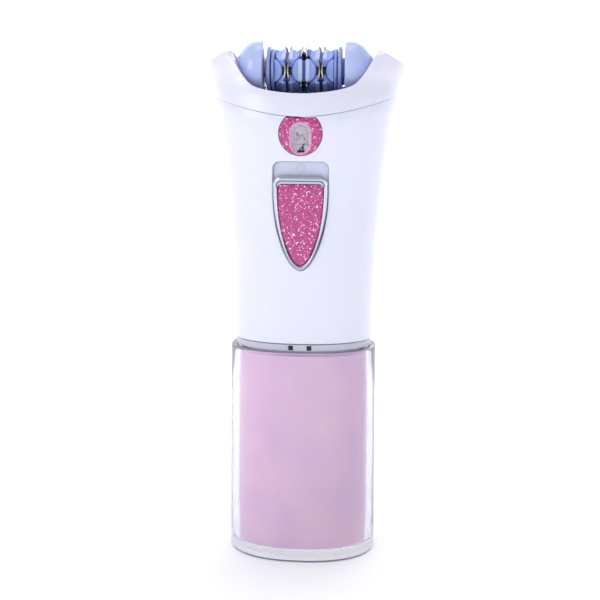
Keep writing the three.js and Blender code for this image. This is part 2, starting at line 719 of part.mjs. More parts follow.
// Bracket on top of the motor that holds the crown shaft and the idler pin.
function gearFrame() {
  const { plate, leftX, rightX, y, leftTop, rightTop } = FRAME;
  const bottom = MOTOR.top + CLEARANCE;
  const floor = box([leftX, rightX + plate], [-y, y], [bottom, bottom + plate]);
  const left = box([leftX, leftX + plate], [-y, y], [bottom, leftTop]);
  const right = box([rightX, rightX + plate], [-y, y], [bottom, rightTop]);
  return cut(join([floor, left, right]), [
    rod('z', MOTOR.boss + FIT, bottom - 1, bottom + 3, [0, 0, 0], 16),
    rod('x', CROWN.shaft + FIT, -FAR, FAR, [0, 0, CROWN_Z], 16),
    rod('x', IDLER_PIN.radius + FIT / 2, -FAR, FAR, [0, 0, IDLER_Z], 16),
  ]);
}

// ---------------------------------------------------------------- head

// Everything above the collar's rim: a sagging mouth between two sloping ear tops.
function mouthPrism() {
  const slope = (EAR.outerZ - EAR.innerZ) / (EAR.outerX - EAR.innerX);
  const sideX = 32;
  const sideZ = EAR.innerZ + slope * (sideX - EAR.innerX);
  const rim = [
    [MOUTH.shoulderX, MOUTH.shoulderZ], [MOUTH.kneeX, MOUTH.kneeZ], [0, MOUTH.centreZ],
    [-MOUTH.kneeX, MOUTH.kneeZ], [-MOUTH.shoulderX, MOUTH.shoulderZ], [-EAR.innerX, EAR.innerZ],
  ];
  const shape = new THREE.Shape();
  shape.moveTo(sideX, 3 * FAR);
  shape.lineTo(sideX, sideZ);
  shape.lineTo(EAR.innerX, EAR.innerZ);
  shape.splineThru(rim.map(([x, z]) => new THREE.Vector2(x, z)));
  shape.lineTo(-sideX, sideZ);
  shape.lineTo(-sideX, 3 * FAR);
  return prism(shape, 'y', -FAR, FAR, [0, 0, 0], 4);
}

// Everything under a long arch across the head, which rounds the ear tops from front to back.
function archPrism() {
  const { springZ, halfY, rise } = EAR_ARCH;
  const shape = new THREE.Shape();
  shape.moveTo(-FAR, 0);
  shape.lineTo(FAR, 0);
  shape.lineTo(FAR, springZ);
  shape.lineTo(halfY, springZ);
  shape.absellipse(0, springZ, halfY, rise, 0, Math.PI);
  shape.lineTo(-FAR, springZ);
  return prism(shape, 'x', -FAR, FAR, [0, 0, 0], 16);
}

function headCollar() {
  const outside = handleBody(0, SEAM.centre - 2, COLLAR_TOP, 7).intersect(archPrism());
  const inX = (z) => Math.min(outlineAt('x', z) - SHELL_WALL, EAR.innerX + 0.05);
  const inY = (z) => outlineAt('y', z) - SHELL_WALL;
  const narrow = [130.5, 134, 138, COLLAR_TOP + 1].map((z) => oval(inX(z), inY(z), z));
  const wideTop = 127.5;
  const wide = [SEAM.centre - 3, wideTop].map(
    (z) => oval(outlineAt('x', z) - SHELL_WALL, inY(z), z));
  const hollow = loft([...wide, ...narrow]);
  return cut(outside.intersect(aboveSeam(SEAM.gap)), [hollow, mouthPrism()]);
}

// Quarter-ellipse dome profile from its shoulder to its crown.
function domeProfile(radius, shoulder, crown) {
  const steps = 5;
  const points = [];
  for (let i = 0; i <= steps; i += 1) {
    const angle = (i / steps) * UP;
    const out = i === steps ? 0 : radius * Math.cos(angle);
    points.push([out, shoulder + (crown - shoulder) * Math.sin(angle)]);
  }
  return points;
}

// Right-hand cheek as a solid, with its faces moved inwards by an inset.
function cheekBody(inset, steps) {
  const { inner, crown, outer, radius, chamfer } = CHEEK;
  const face = inner + inset;
  const skin = [[0, face], [radius - inset - chamfer, face], [radius - inset, face + chamfer],
    ...domeProfile(radius - inset, crown + Math.max(inset, 0), outer - inset)];
  return turned(skin, 'x', [0, 0, DRUM_AXIS_Z], steps);
}

function headCheek(side) {
  const { inner, wall } = CHEEK;
  const centre = [0, 0, DRUM_AXIS_Z];
  const dome = cheekBody(0, 28).subtract(cheekBody(wall, 20));
  const slotBox = box(
    [CHEEK_SLOT.inner, CHEEK_SLOT.outer], [-CHEEK_SLOT.y, CHEEK_SLOT.y], [110, DRUM_AXIS_Z - 3]);
  const bushHole = rod('x', BUSH.outer + FIT, inner - wall, inner + 2 * wall, centre);
  const cheek = cut(dome, [slotBox, bushHole]);
  return side > 0 ? cheek : cheek.rotate([0, 0, 180]);
}

function drumBush(side) {
  const from = CHEEK.inner + FIT / 2;
  const bush = ring('x', BUSH.inner, BUSH.outer, from, from + BUSH.length, [0, 0, DRUM_AXIS_Z]);
  return side > 0 ? bush : bush.rotate([0, 0, 180]);
}

// Floor of the head: a trough under the drum and a ledge that reaches the collar all round.
function headTrough() {
  const { inner, outer, halfAngle, halfLength, ledgeX, ledgeY, ledge } = TROUGH;
  const shape = new THREE.Shape();
  shape.absarc(0, 0, outer, DOWN - halfAngle, DOWN + halfAngle);
  shape.absarc(0, 0, inner, DOWN + halfAngle, DOWN - halfAngle, true);
  const trough = prism(shape, 'x', -halfLength, halfLength, [0, 0, DRUM_AXIS_Z]);
  const ledgeZ = DRUM_AXIS_Z - outer * Math.cos(halfAngle);
  const plate = ovalBlock(ledgeX, ledgeY, ledgeZ, ledgeZ + ledge);
  const drumSpace = rod('x', inner, -halfLength, halfLength, [0, 0, DRUM_AXIS_Z]);
  const cheekSpace = cheekBody(-0.4, 28);
  const gearSpace = rod('x', IDLER_TIP + CLEARANCE, GEAR.x - GEAR.width, GEAR.x + GEAR.width,
    [0, 0, IDLER_Z]);
  const spaces = [drumSpace, gearSpace, cheekSpace, cheekSpace.rotate([0, 0, 180])];
  return cut(plate, spaces).add(trough);
}

// ---------------------------------------------------------------- drum

const DRUM_CENTRE = [0, 0, DRUM_AXIS_Z];
const PAIRS = [-1, 0, 1].map((i) => ({ x: i * BOSS.pitch, firstRow: i === 0 ? 1 : 0 }));
const rowAngle = (row) => (row * 2 * Math.PI) / BOSS.rows;

function drumAxle() {
  return rod('x', AXLE.radius, -AXLE.halfLength, AXLE.halfLength, DRUM_CENTRE);
}

const axleBore = () => rod('x', AXLE.radius + FIT, -FAR, FAR, DRUM_CENTRE, 12);

// Places of the push rods, halfway between two rows of bosses.
const ROD_PLACES = [0, 1, 2].map((i) => {
  const angle = rowAngle(2 * i) + rowAngle(1) / 2;
  return [-PUSH_ROD.ring * Math.cos(angle), PUSH_ROD.ring * Math.sin(angle)];
});

const rodBores = (radius) => ROD_PLACES.map(
  ([y, z]) => rod('x', radius, -FAR, FAR, [0, y, DRUM_AXIS_Z + z], 6));

// Round boss that stands out of the drum along its row.
function boss(x, row) {
  const geometry = new THREE.CylinderGeometry(BOSS.radius, BOSS.radius, 6, 12);
  geometry.translate(0, 6, 0);
  geometry.rotateX(Math.PI - rowAngle(row));
  geometry.translate(x, 0, DRUM_AXIS_Z);
  return toSolid(geometry);
}

// Raised bar along the edge of a boss, between two places along the drum.
function rib(from, to, row) {
  const bar = box([from, to], [-RIB.halfLength, RIB.halfLength], [BOSS.hub, RIB.reach + 1]);
  const tilt = 90 - (rowAngle(row) * 180) / Math.PI;
  return bar.rotate([tilt, 0, 0]).translate(DRUM_CENTRE);
}

// Length of the drum between two blade slots, with its share of the staggered bosses.
function drumSegment(from, to) {
  const hub = rod('x', BOSS.hub, from, to, DRUM_CENTRE);
  const bosses = [];
  const ribs = [];
  for (let row = 0; row < BOSS.rows; row += 1) {
    const odd = row % 2;
    for (let step = -2 + odd; step <= 2 - odd; step += 2) {
      const x = step * BOSS.pitch;
      if (x + BOSS.radius > from && x - BOSS.radius < to) bosses.push(boss(x, row));
      if (Math.abs(x - from) < SLOT_WIDTH) ribs.push(rib(from, from + RIB.width, row));
      if (Math.abs(x - to) < SLOT_WIDTH) ribs.push(rib(to - RIB.width, to, row));
    }
  }
  const envelope = (reach) => rod('x', reach, from, to, DRUM_CENTRE, 24);
  const solid = join([hub, ...bosses]).intersect(envelope(BOSS.reach))
    .add(join(ribs).intersect(envelope(RIB.reach)));
  return cut(solid, [axleBore(), ...rodBores(PUSH_ROD.radius + PUSH_ROD.clearance)]);
}

function drumSegments() {
  const half = SLOT_WIDTH / 2;
  const end = FLANGE.inner - 0.1;
  const edges = [-end, ...PAIRS.flatMap(({ x }) => [x - half, x + half]), end];
  const names = ['a', 'b', 'c', 'd'];
  return names.map((letter, i) => piece(
    `drum_segment_${letter}`, drumSegment(edges[2 * i], edges[2 * i + 1]), BLUE_PLASTIC()));
}

// Three-fingered tweezer disc. Each finger is narrow at its root and flares to its tip.
function bladeShape(firstRow) {
  const { hub, neck, waist, tip, flare } = BLADE;
  const shape = new THREE.Shape();
  const rootAngle = Math.asin(neck / hub);
  const outline = [];
  for (let finger = 0; finger < 3; finger += 1) {
    const middle = Math.PI - rowAngle(firstRow + 2 * finger);
    const around = [
      [hub, rootAngle + 0.5], [hub, rootAngle], [waist, neck / waist], [tip - 0.4, flare],
      [tip, flare - 0.08], [tip, flare / 3],
    ];
    around.forEach(([radius, angle]) => outline.push([radius, middle + angle]));
    around.reverse().forEach(([radius, angle]) => outline.push([radius, middle - angle]));
  }
  outline.forEach(([radius, angle], i) => {
    const [y, z] = [radius * Math.cos(angle), radius * Math.sin(angle)];
    if (i === 0) shape.moveTo(y, z);
    else shape.lineTo(y, z);
  });
  shape.closePath();
  return shape;
}

function bladeDisc(x, firstRow, rodClearance) {
  const disc = prism(bladeShape(firstRow), 'x', x, x + BLADE.thickness, DRUM_CENTRE);
  return cut(disc, [axleBore(), ...rodBores(PUSH_ROD.radius + rodClearance)]);
}

function fixedBlades() {
  const names = ['left', 'middle', 'right'];
  return PAIRS.map(({ x, firstRow }, i) => piece(
    `blade_fixed_${names[i]}`,
    bladeDisc(x - BLADE.offset - BLADE.thickness, firstRow, PUSH_ROD.clearance), STEEL()));
}

function movingBlades() {
  const names = ['left', 'middle', 'right'];
  return PAIRS.map(({ x, firstRow }, i) => piece(
    `blade_moving_${names[i]}`, bladeDisc(x + BLADE.offset, firstRow, FIT), STEEL()));
}

function pushRods() {
  return ROD_PLACES.map(([y, z], i) => piece(
    `push_rod_${i + 1}`,
    rod('x', PUSH_ROD.radius, -PUSH_ROD.halfLength, PUSH_ROD.halfLength,
      [0, y, DRUM_AXIS_Z + z], 8),
    STEEL()));
}

// Double flange that closes one end of the drum.
function drumFlange(side) {
  const { inner, outer, innerPlate, outerPlate, innerRadius, outerRadius, hub } = FLANGE;
  const bore = AXLE.radius + FIT;
  const profile = [
    [bore, inner], [innerRadius, inner], [innerRadius, inner + innerPlate],
    [hub, inner + innerPlate], [hub, outer - outerPlate], [outerRadius, outer - outerPlate],
    [outerRadius, outer], [bore, outer], [bore, inner],
  ];
  const flange = turned(profile, 'x', DRUM_CENTRE, 18);
  return side > 0 ? flange : flange.rotate([0, 0, 180]);
}

// ---------------------------------------------------------------- assembly

const handle = group(
  piece('front_shell', frontShell(), WHITE_GLOSS()),
  piece('rear_shell', rearShell(), WHITE_GLOSS()),
  piece('neck_ring', neckRing(), GREY_PLASTIC()),
  piece('contact_spring', contactSpring(), STEEL()),
  piece('contact_tab', contactTab(), BRASS()),
  SCREW.heights.map((z, i) => piece(`casing_screw_${i + 1}`, casingScrew(z), STEEL())),
  piece('led_lens', ledLens(), PINK_GLITTER()),
  piece('led_reflector', ledReflector(), GREY_PLASTIC()),
  piece('led_bulb', ledBulb(), CLEAR_PLASTIC()),
  piece('switch_panel', switchPanel(), GREY_PLASTIC()),
  piece('circuit_board', circuitBoard(), BOARD_GREEN()),
  piece('slide_switch_body', slideSwitchBody(), STEEL()),
  piece('resistor', resistor(), BRASS()),
  piece('motor_can', motorCan(), STEEL()),
  piece('motor_end_cap', motorEndCap(), GREY_PLASTIC()),
  piece('motor_magnet_left', motorMagnet(-1), STEEL()),
  piece('motor_magnet_right', motorMagnet(1), STEEL()),
  piece('lead_left', lead(-1), GREY_PLASTIC()),
  piece('lead_right', lead(1), GREY_PLASTIC()),
  piece('gear_frame', gearFrame(), GREY_PLASTIC()),
  piece('idler_pin', idlerPin(), STEEL()),
);

const slider = group(
  piece('switch_frame', switchFrame(), CHROME()),
  piece('switch_inlay', switchInlay(), PINK_GLITTER()),
  piece('switch_carrier', switchCarrier(), GREY_PLASTIC()),
);

const gears = group(
  piece('motor_rotor', motorRotor(), STEEL()),
  piece('motor_pinion', motorPinion(), BRASS()),
  piece('crown_gear', crownGear(), GEAR_NYLON()),
  piece('idler_gear', idlerGear(), GEAR_NYLON()),
);

const head = group(
  piece('head_collar', headCollar(), WHITE_GLOSS()),
  piece('head_trough', headTrough(), PALE_BLUE()),
  piece('cheek_left', headCheek(-1), PALE_BLUE()),
  piece('cheek_right', headCheek(1), PALE_BLUE()),
  piece('drum_bush_left', drumBush(-1), BRASS()),
  piece('drum_bush_right', drumBush(1), BRASS()),
);

const drum = group(
  piece('drum_axle', drumAxle(), STEEL()),
  piece('drum_gear', drumGear(), GEAR_NYLON()),
  piece('drum_flange_left', drumFlange(-1), BLUE_PLASTIC()),
  piece('drum_flange_right', drumFlange(1), BLUE_PLASTIC()),
  drumSegments(),
  fixedBlades(),
  movingBlades(),
  pushRods(),
);

const epilator = new THREE.Group();
epilator.add(batteryCup(), handle, slider, gears, head, drum);

export default epilator;
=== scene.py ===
"""Looks of a handheld battery epilator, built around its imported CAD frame.

The part stands on its battery cup: +Z up, front towards -Y. Shapes are worked out in
millimetres and written to meshes in metres. A shape is a pair of vertices and faces.
"""

from math import acos, copysign, cos, pi, radians, sin, sqrt, tau

import bmesh
import bpy
from mathutils import Matrix, Vector


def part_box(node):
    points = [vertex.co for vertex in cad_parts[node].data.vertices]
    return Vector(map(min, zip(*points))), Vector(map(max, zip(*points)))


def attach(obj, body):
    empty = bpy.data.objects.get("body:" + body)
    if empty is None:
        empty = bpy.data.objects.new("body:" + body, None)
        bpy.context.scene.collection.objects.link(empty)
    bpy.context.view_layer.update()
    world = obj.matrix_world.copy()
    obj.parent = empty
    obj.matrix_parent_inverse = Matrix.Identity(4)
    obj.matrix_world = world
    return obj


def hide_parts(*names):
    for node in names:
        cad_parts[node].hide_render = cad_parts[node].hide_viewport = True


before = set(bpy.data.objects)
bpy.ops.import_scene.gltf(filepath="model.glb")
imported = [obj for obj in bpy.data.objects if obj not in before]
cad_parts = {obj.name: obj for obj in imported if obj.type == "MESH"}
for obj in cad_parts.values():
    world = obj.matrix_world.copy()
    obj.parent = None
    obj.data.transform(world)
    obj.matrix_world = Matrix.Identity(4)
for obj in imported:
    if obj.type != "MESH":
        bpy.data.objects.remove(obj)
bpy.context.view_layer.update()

MM = 0.001
SHARP_ANGLE = 38


def node_box(node):
    """Lowest and highest corner of a CAD node in millimetres."""
    low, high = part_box(node)
    return Vector(low) / MM, Vector(high) / MM


def node_middle(node):
    low, high = node_box(node)
    return (low + high) / 2


# ---------------- driving dimensions

OVAL_POWER = 2.25

# height, half width and half depth of the handle's outside
OUTLINE = (
    (62, 19.3, 14.1),
    (76, 19.7, 14.4),
    (90, 20.2, 14.8),
    (103, 21.3, 15.3),
    (113, 22.4, 15.9),
    (122.5, 23.8, 16.34),
    (128, 24.9, 15.2),
    (132.5, 25.8, 13),
    (136.5, 27.04, 12.1),
    (142, 27.6, 10),
)
SEAM_CENTRE, SEAM_EDGE, SEAM_EDGE_X, SEAM_POWER = 123.2, 128.7, 25.1, 1.8
SEAM_GAP = 0.14
SHELL_WALL = 1.7
SHELL_BOTTOM = node_box("front_shell")[0].z
SCREW_HEIGHTS = [node_middle(f"casing_screw_{i}").z for i in (1, 2)]

CUP_TOP_X, CUP_BASE_X, CUP_Y = 20.5, 20.9, 15.5
CUP_WALL, CUP_FLOOR = 2.1, 2.8
CUP_HEIGHT = node_box("clear_cup")[1].z
INNER_LOW, INNER_HIGH = (corner.z for corner in node_box("inner_cup"))
INNER_GAP, INNER_WALL = 0.3, 1.1
LATCH_SIDE, LATCH_SPREAD, LATCH_DROP, LATCH_DEPTH = 1.35, 2.5, 0.92, 2.2

DRUM_CENTRE = Vector((0, 0, node_middle("drum_axle").z))
HUB_RADIUS, BOSS_RADIUS, BOSS_FACE, BOSS_PITCH, BOSS_ROWS = 3.6, 3.3, 5.05, 4.6, 6
RIB_TOP, RIB_INNER, RIB_OUTER, RIB_HALF = 5.4, 0.44, 1.55, 2.75
GROOVE_LOW, GROOVE_HIGH, GROOVE_GAP = 3.62, 4.4, 0.03
BLADE_SLOT = 1.2
SEGMENT_END = 8.0
AXLE_BORE, ROD_BORE, TIGHT_BORE, ROD_RING = 1.6, 0.6, 0.5, 2.6
FLANGE_INNER, FLANGE_OUTER = 8.1, 10.7
# foot, thickness and radius of each plate of a flange
FLANGE_PLATES = ((FLANGE_INNER, 0.75, 6.1), (9.15, 0.95, 6.6))

BLADE_THICKNESS, BLADE_OFFSET, BLADE_HUB, BLADE_SPLAY = 0.3, 0.2, 3.5, 0.42
BLADE_PLACES = (("left", -BOSS_PITCH, 0), ("middle", 0.0, 1), ("right", BOSS_PITCH, 0))
# half angle of a finger at a few radii
FINGER = ((2.9, 0.36), (3.5, 0.33), (4.9, 0.224), (5.9, 0.35), (6.4, 0.46), (6.8, 0.4))

EAR_INNER, EAR_OUTER = (20.1, 141.1), (27.2, 137.2)
ARCH_SPRING, ARCH_HALF, ARCH_RISE = 128, 15.6, 13.3
MOUTH_KNOTS = ((0, 129.3), (11, 130.6), (15.6, 133.6), EAR_INNER)
CHEEK_INNER, CHEEK_CROWN, CHEEK_OUTER, CHEEK_RADIUS, CHEEK_WALL = 11.0, 12.6, 19.1, 8.1, 1.0
CHEEK_SLOT = ((12, -5.4, 110), (15.4, 5.4, 132.5))
BUSH_RADIUS = 2.7
LIP_INNER, LIP_OUTER, LIP_HALF, LIP_START, LIP_SWEEP = 7.6, 8.3, 10.6, 0.4, 0.65

LENS_Z, LENS_RADIUS, LENS_DEPTH, LENS_GAP = 119.0, 5.8, 1.5, 0.04
WINDOW_HALF, WINDOW_LOW, WINDOW_HIGH = 2.5, 113.9, 121.6

SHIELD_BOTTOM, SHIELD_SHOULDER, SHIELD_TOP = 82.8, 103.2, 107.9
SHIELD_HALF, SHIELD_CORNER = 7.2, 1.9
SLOT_TOP = 111.7
SWITCH_PROUD, SWITCH_SEAT, SWITCH_RIM, SWITCH_BAR = 0.8, 0.45, 1.1, 2.2
PANEL_DEPTH, PANEL_THICKNESS = 1.0, 1.0
GUIDE_LOW, GUIDE_HIGH = (-2.4, -30, 91.5), (2.4, 0, 104)
MARK_Z, MARK_RADIUS, MARK_WIDTH, MARK_PROUD = 109.9, 1.25, 0.28, 0.1

CAMERA_TARGET = Vector((-1.08, 0, 72.18))
CAMERA_DISTANCE, CAMERA_LENS, SENSOR = 299.7, 63.5, 36
CAMERA_AZIMUTH, CAMERA_PITCH, CAMERA_ROLL = 4.39, 9.80, 0.33


# ---------------- curves of the outside


def hermite(start, pull, end, push, t):
    """Smooth curve between two values or points, with a given slope at each."""
    return (
        start * (1 + 2 * t) * (1 - t) ** 2 + pull * t * (1 - t) ** 2
        + end * t * t * (3 - 2 * t) + push * t * t * (t - 1))


def outline_at(column, z):
    """Half width (column 1) or half depth (column 2) of the handle, on a smooth curve."""
    last = len(OUTLINE) - 1
    low = max((i for i in range(last) if OUTLINE[i][0] <= z), default=0)
    start, end = OUTLINE[low], OUTLINE[low + 1]
    span = end[0] - start[0]

    def slope(k):
        before, after = OUTLINE[max(k - 1, 0)], OUTLINE[min(k + 1, last)]
        return span * (after[column] - before[column]) / (after[0] - before[0])

    return hermite(start[column], slope(low), end[column], slope(low + 1), (z - start[0]) / span)


def along(value):
    """Superellipse coordinate from a cosine or sine."""
    return copysign(abs(value) ** (2 / OVAL_POWER), value)


def oval_point(angle, half_x, half_y, z):
    return Vector((half_x * along(cos(angle)), half_y * along(sin(angle)), z))


def handle_point(angle, z, offset=0.0):
    return oval_point(angle, outline_at(1, z) + offset, outline_at(2, z) + offset, z)


def front_point(x, z, offset=0.0):
    """Point of the handle's front face at a width and height, moved outwards by an offset."""
    half_x, half_y = outline_at(1, z) + offset, outline_at(2, z) + offset
    rest = max(0.0, 1 - abs(x / half_x) ** OVAL_POWER)
    return Vector((x, -half_y * rest ** (1 / OVAL_POWER), z))


def seam_height(x):
    rise = SEAM_EDGE - SEAM_CENTRE
    return SEAM_CENTRE + rise * abs(x / SEAM_EDGE_X) ** SEAM_POWER


def seam_at(angle):
    """Height of the seam in a direction from the axis, found in two steps."""
    rough = seam_height(handle_point(angle, SEAM_CENTRE).x)
    return seam_height(handle_point(angle, rough).x)


def smooth_step(low, high, value):
    t = min(1.0, max(0.0, (value - low) / (high - low)))
    return t * t * (3 - 2 * t)


# ---------------- outlines and rows of points


def full_turn(steps):
    return [tau * i / steps for i in range(steps)]


def arc(centre, radius, start, end, steps):
    """Points of a plane arc, angles in degrees."""
    points = []
    for i in range(steps + 1):
        angle = radians(start + (end - start) * i / steps)
        points.append((centre[0] + radius * cos(angle), centre[1] + radius * sin(angle)))
    return points


def circle_outline(radius, z, steps=72):
    return [(radius * cos(a), z + radius * sin(a)) for a in full_turn(steps)]


def capsule_outline(grow=0.0, steps=32):
    """Upright outline of the lamp window with round ends, grown on all sides."""
    half = WINDOW_HALF + grow
    points = arc((0, WINDOW_HIGH - WINDOW_HALF), half, 0, 180, steps)
    return points + arc((0, WINDOW_LOW + WINDOW_HALF), half, 180, 360, steps)


def shield_outline(bottom, top, half, corner=SHIELD_CORNER, side_steps=26):
    """Shield counter-clockwise from its tip, as (x, z) pairs."""
    right = []
    for i in range(side_steps):
        share = 0.5 - 0.5 * cos(pi * i / (side_steps - 1))
        width = half * (1 - (1 - share) ** 1.8) ** 0.56
        right.append((width, bottom + (SHIELD_SHOULDER - bottom) * share))
    for t in (0.25, 0.5, 0.75):
        right.append((half, SHIELD_SHOULDER + (top - corner - SHIELD_SHOULDER) * t))
    right += arc((half - corner, top - corner), corner, 0, 90, 6)
    right += [((half - corner) * t, top) for t in (0.75, 0.5, 0.25)]
    left = [(-x, z) for x, z in reversed(right[1:])]
    return right + [(0, top)] + left


def between(first, second, share):
    """Outline part of the way from one outline to another."""
    return [Vector(a).lerp(Vector(b), share) for a, b in zip(first, second)]


def shrink_to_spine(outline, share, bottom, top):
    """Outline drawn in towards the upright line between two heights."""
    spine = [(0, min(max(z, bottom), top)) for _, z in outline]
    return between(outline, spine, share)


def oval_row(half_x, half_y, z, steps=128):
    return [oval_point(angle, half_x, half_y, z) for angle in full_turn(steps)]


def front_row(outline, offset):
    """Row on the handle's front face through (x, z) points, moved outwards by an offset."""
    return [front_point(x, z, offset) for x, z in outline]


def dome(radius, shoulder, crown, steps=20):
    """Profile of (radius, height) pairs from a shoulder to the middle of a crown."""
    points = []
    for i in range(steps + 1):
        angle = pi / 2 * i / steps
        out = 0 if i == steps else radius * cos(angle)
        points.append((out, shoulder + (crown - shoulder) * sin(angle)))
    return points


# ---------------- shapes and meshes


def grid(rows, around=True, closed=False):
    """Sheet through rows of points. A row of one point is a pole."""
    vertices, faces, starts = [], [], []
    for row in rows:
        starts.append(len(vertices))
        vertices.extend(row)
    pairs = list(zip(range(len(rows) - 1), range(1, len(rows))))
    if closed:
        pairs.append((len(rows) - 1, 0))
    for low, high in pairs:
        count = max(len(rows[low]), len(rows[high]))
        for i in range(count if around else count - 1):
            j = (i + 1) % count
            first = [starts[low] + k for k in ((i, j) if len(rows[low]) > 1 else (0,))]
            second = [starts[high] + k for k in ((j, i) if len(rows[high]) > 1 else (0,))]
            faces.append(first + second)
    return vertices, faces


def capped(rows):
    """Solid through rows of points, closed at the middle of its first and last row."""
    first, last = ([sum(values) / len(row) for values in zip(*row)] for row in (rows[0], rows[-1]))
    return grid([[Vector(first)], *rows, [Vector(last)]])


def slab(outer, inner):
    """Closed slab between two open sheets with the same rows and columns."""
    vertices, faces = grid(outer, around=False)
    more, back = grid(inner, around=False)
    shift, columns = len(vertices), len(outer[0])
    faces += [[k + shift for k in reversed(face)] for face in back]
    corner, opposite = shift - 1, shift - columns
    rim = [*range(columns - 1), *range(columns - 1, corner, columns)]
    rim += [*range(corner, opposite, -1), *range(opposite, 0, -columns)]
    faces += [[b, a, a + shift, b + shift] for a, b in zip(rim, rim[1:] + rim[:1])]
    return vertices + more, faces


def turned(profile, axis, centre, steps=96, closed=False):
    """Profile of (radius, height) pairs turned about the X or Z axis through a centre."""
    rows = []
    for radius, height in profile:
        row = []
        for angle in full_turn(steps if radius > 0 else 1):
            around = (radius * cos(angle), radius * sin(angle))
            point = (height, *around) if axis == "x" else (*around, height)
            row.append(Vector(centre) + Vector(point))
        rows.append(row)
    return grid(rows, closed=closed)


def block(low, high):
    """Box between two corners."""
    plan = ((low[0], low[1]), (high[0], low[1]), (high[0], high[1]), (low[0], high[1]))
    return capped([[Vector((x, y, z)) for x, y in plan] for z in (low[2], high[2])])


def wire(path, radius, steps=12):
    """Closed round wire along points that share one depth."""
    rows = []
    for i, point in enumerate(path):
        ahead = path[min(i + 1, len(path) - 1)] - path[max(i - 1, 0)]
        across = Vector((ahead.z, 0, -ahead.x)).normalized()
        rows.append([
            point + across * radius * cos(a) + Vector((0, radius * sin(a), 0))
            for a in full_turn(steps)])
    return capped(rows)


def join_shapes(shapes):
    vertices, faces = [], []
    for more, around in shapes:
        shift = len(vertices)
        vertices += more
        faces += [[k + shift for k in face] for face in around]
    return vertices, faces


def new_object(name, data):
    """Object of some data, linked into the scene."""
    made = bpy.data.objects.new(name, data)
    bpy.context.scene.collection.objects.link(made)
    return made


def build_mesh(name, shape, sharp_angle=SHARP_ANGLE):
    """Object from millimetre vertices and faces, smooth except along sharp edges."""
    vertices, faces = shape
    mesh = bpy.data.meshes.new(name)
    mesh.from_pydata([Vector(v) * MM for v in vertices], [], faces)
    tidy = bmesh.new()
    tidy.from_mesh(mesh)
    bmesh.ops.remove_doubles(tidy, verts=tidy.verts, dist=1e-7)
    bmesh.ops.recalc_face_normals(tidy, faces=tidy.faces)
    tidy.to_mesh(mesh)
    tidy.free()
    mesh.shade_smooth()
    mesh.set_sharp_from_angle(angle=radians(sharp_angle))
    return new_object(name, mesh)


def combine(piece, tools, operation="DIFFERENCE"):
    """Cuts tools out of a piece, or joins them to it, and deletes the tools."""
    for tool in tools:
        modifier = piece.modifiers.new("combine", "BOOLEAN")
        modifier.operation = operation
        modifier.solver = "EXACT"
        modifier.object = tool
    depsgraph = bpy.context.evaluated_depsgraph_get()
    done = bpy.data.meshes.new_from_object(piece.evaluated_get(depsgraph))
    piece.modifiers.clear()
    used = [piece.data] + [tool.data for tool in tools]
    piece.data = done
    for tool in tools:
        bpy.data.objects.remove(tool)
    for mesh in used:
        bpy.data.meshes.remove(mesh)
    done.shade_smooth()
    done.set_sharp_from_angle(angle=radians(SHARP_ANGLE))


def soften(piece, width, segments=3, angle=40):
    """Rounds a piece's sharp edges."""
    modifier = piece.modifiers.new("soften", "BEVEL")
    modifier.width = width * MM
    modifier.segments = segments
    modifier.limit_method = "ANGLE"
    modifier.angle_limit = radians(angle)
    modifier.harden_normals = True


def face_back(piece, y, z):
    """Turns an upright piece to point backwards from a place in the middle plane."""
    place = Matrix.Translation(Vector((0, y, z)) * MM)
    piece.data.transform(place @ Matrix.Rotation(-pi / 2, 4, "X"))


def put_on_side(piece, side):
    """Turns a piece made for the right side half round when it belongs on the left."""
    if side < 0:
        piece.data.transform(Matrix.Rotation(pi, 4, "Z"))


# ---------------- materials


MATERIALS = {}


def srgb(red, green, blue):
    """Linear colour from display values of 0 to 255."""
    def linear(value):
        value /= 255
        return value / 12.92 if value <= 0.04045 else ((value + 0.055) / 1.055) ** 2.4
    return (linear(red), linear(green), linear(blue), 1)


WHITE = (255, 255, 255)


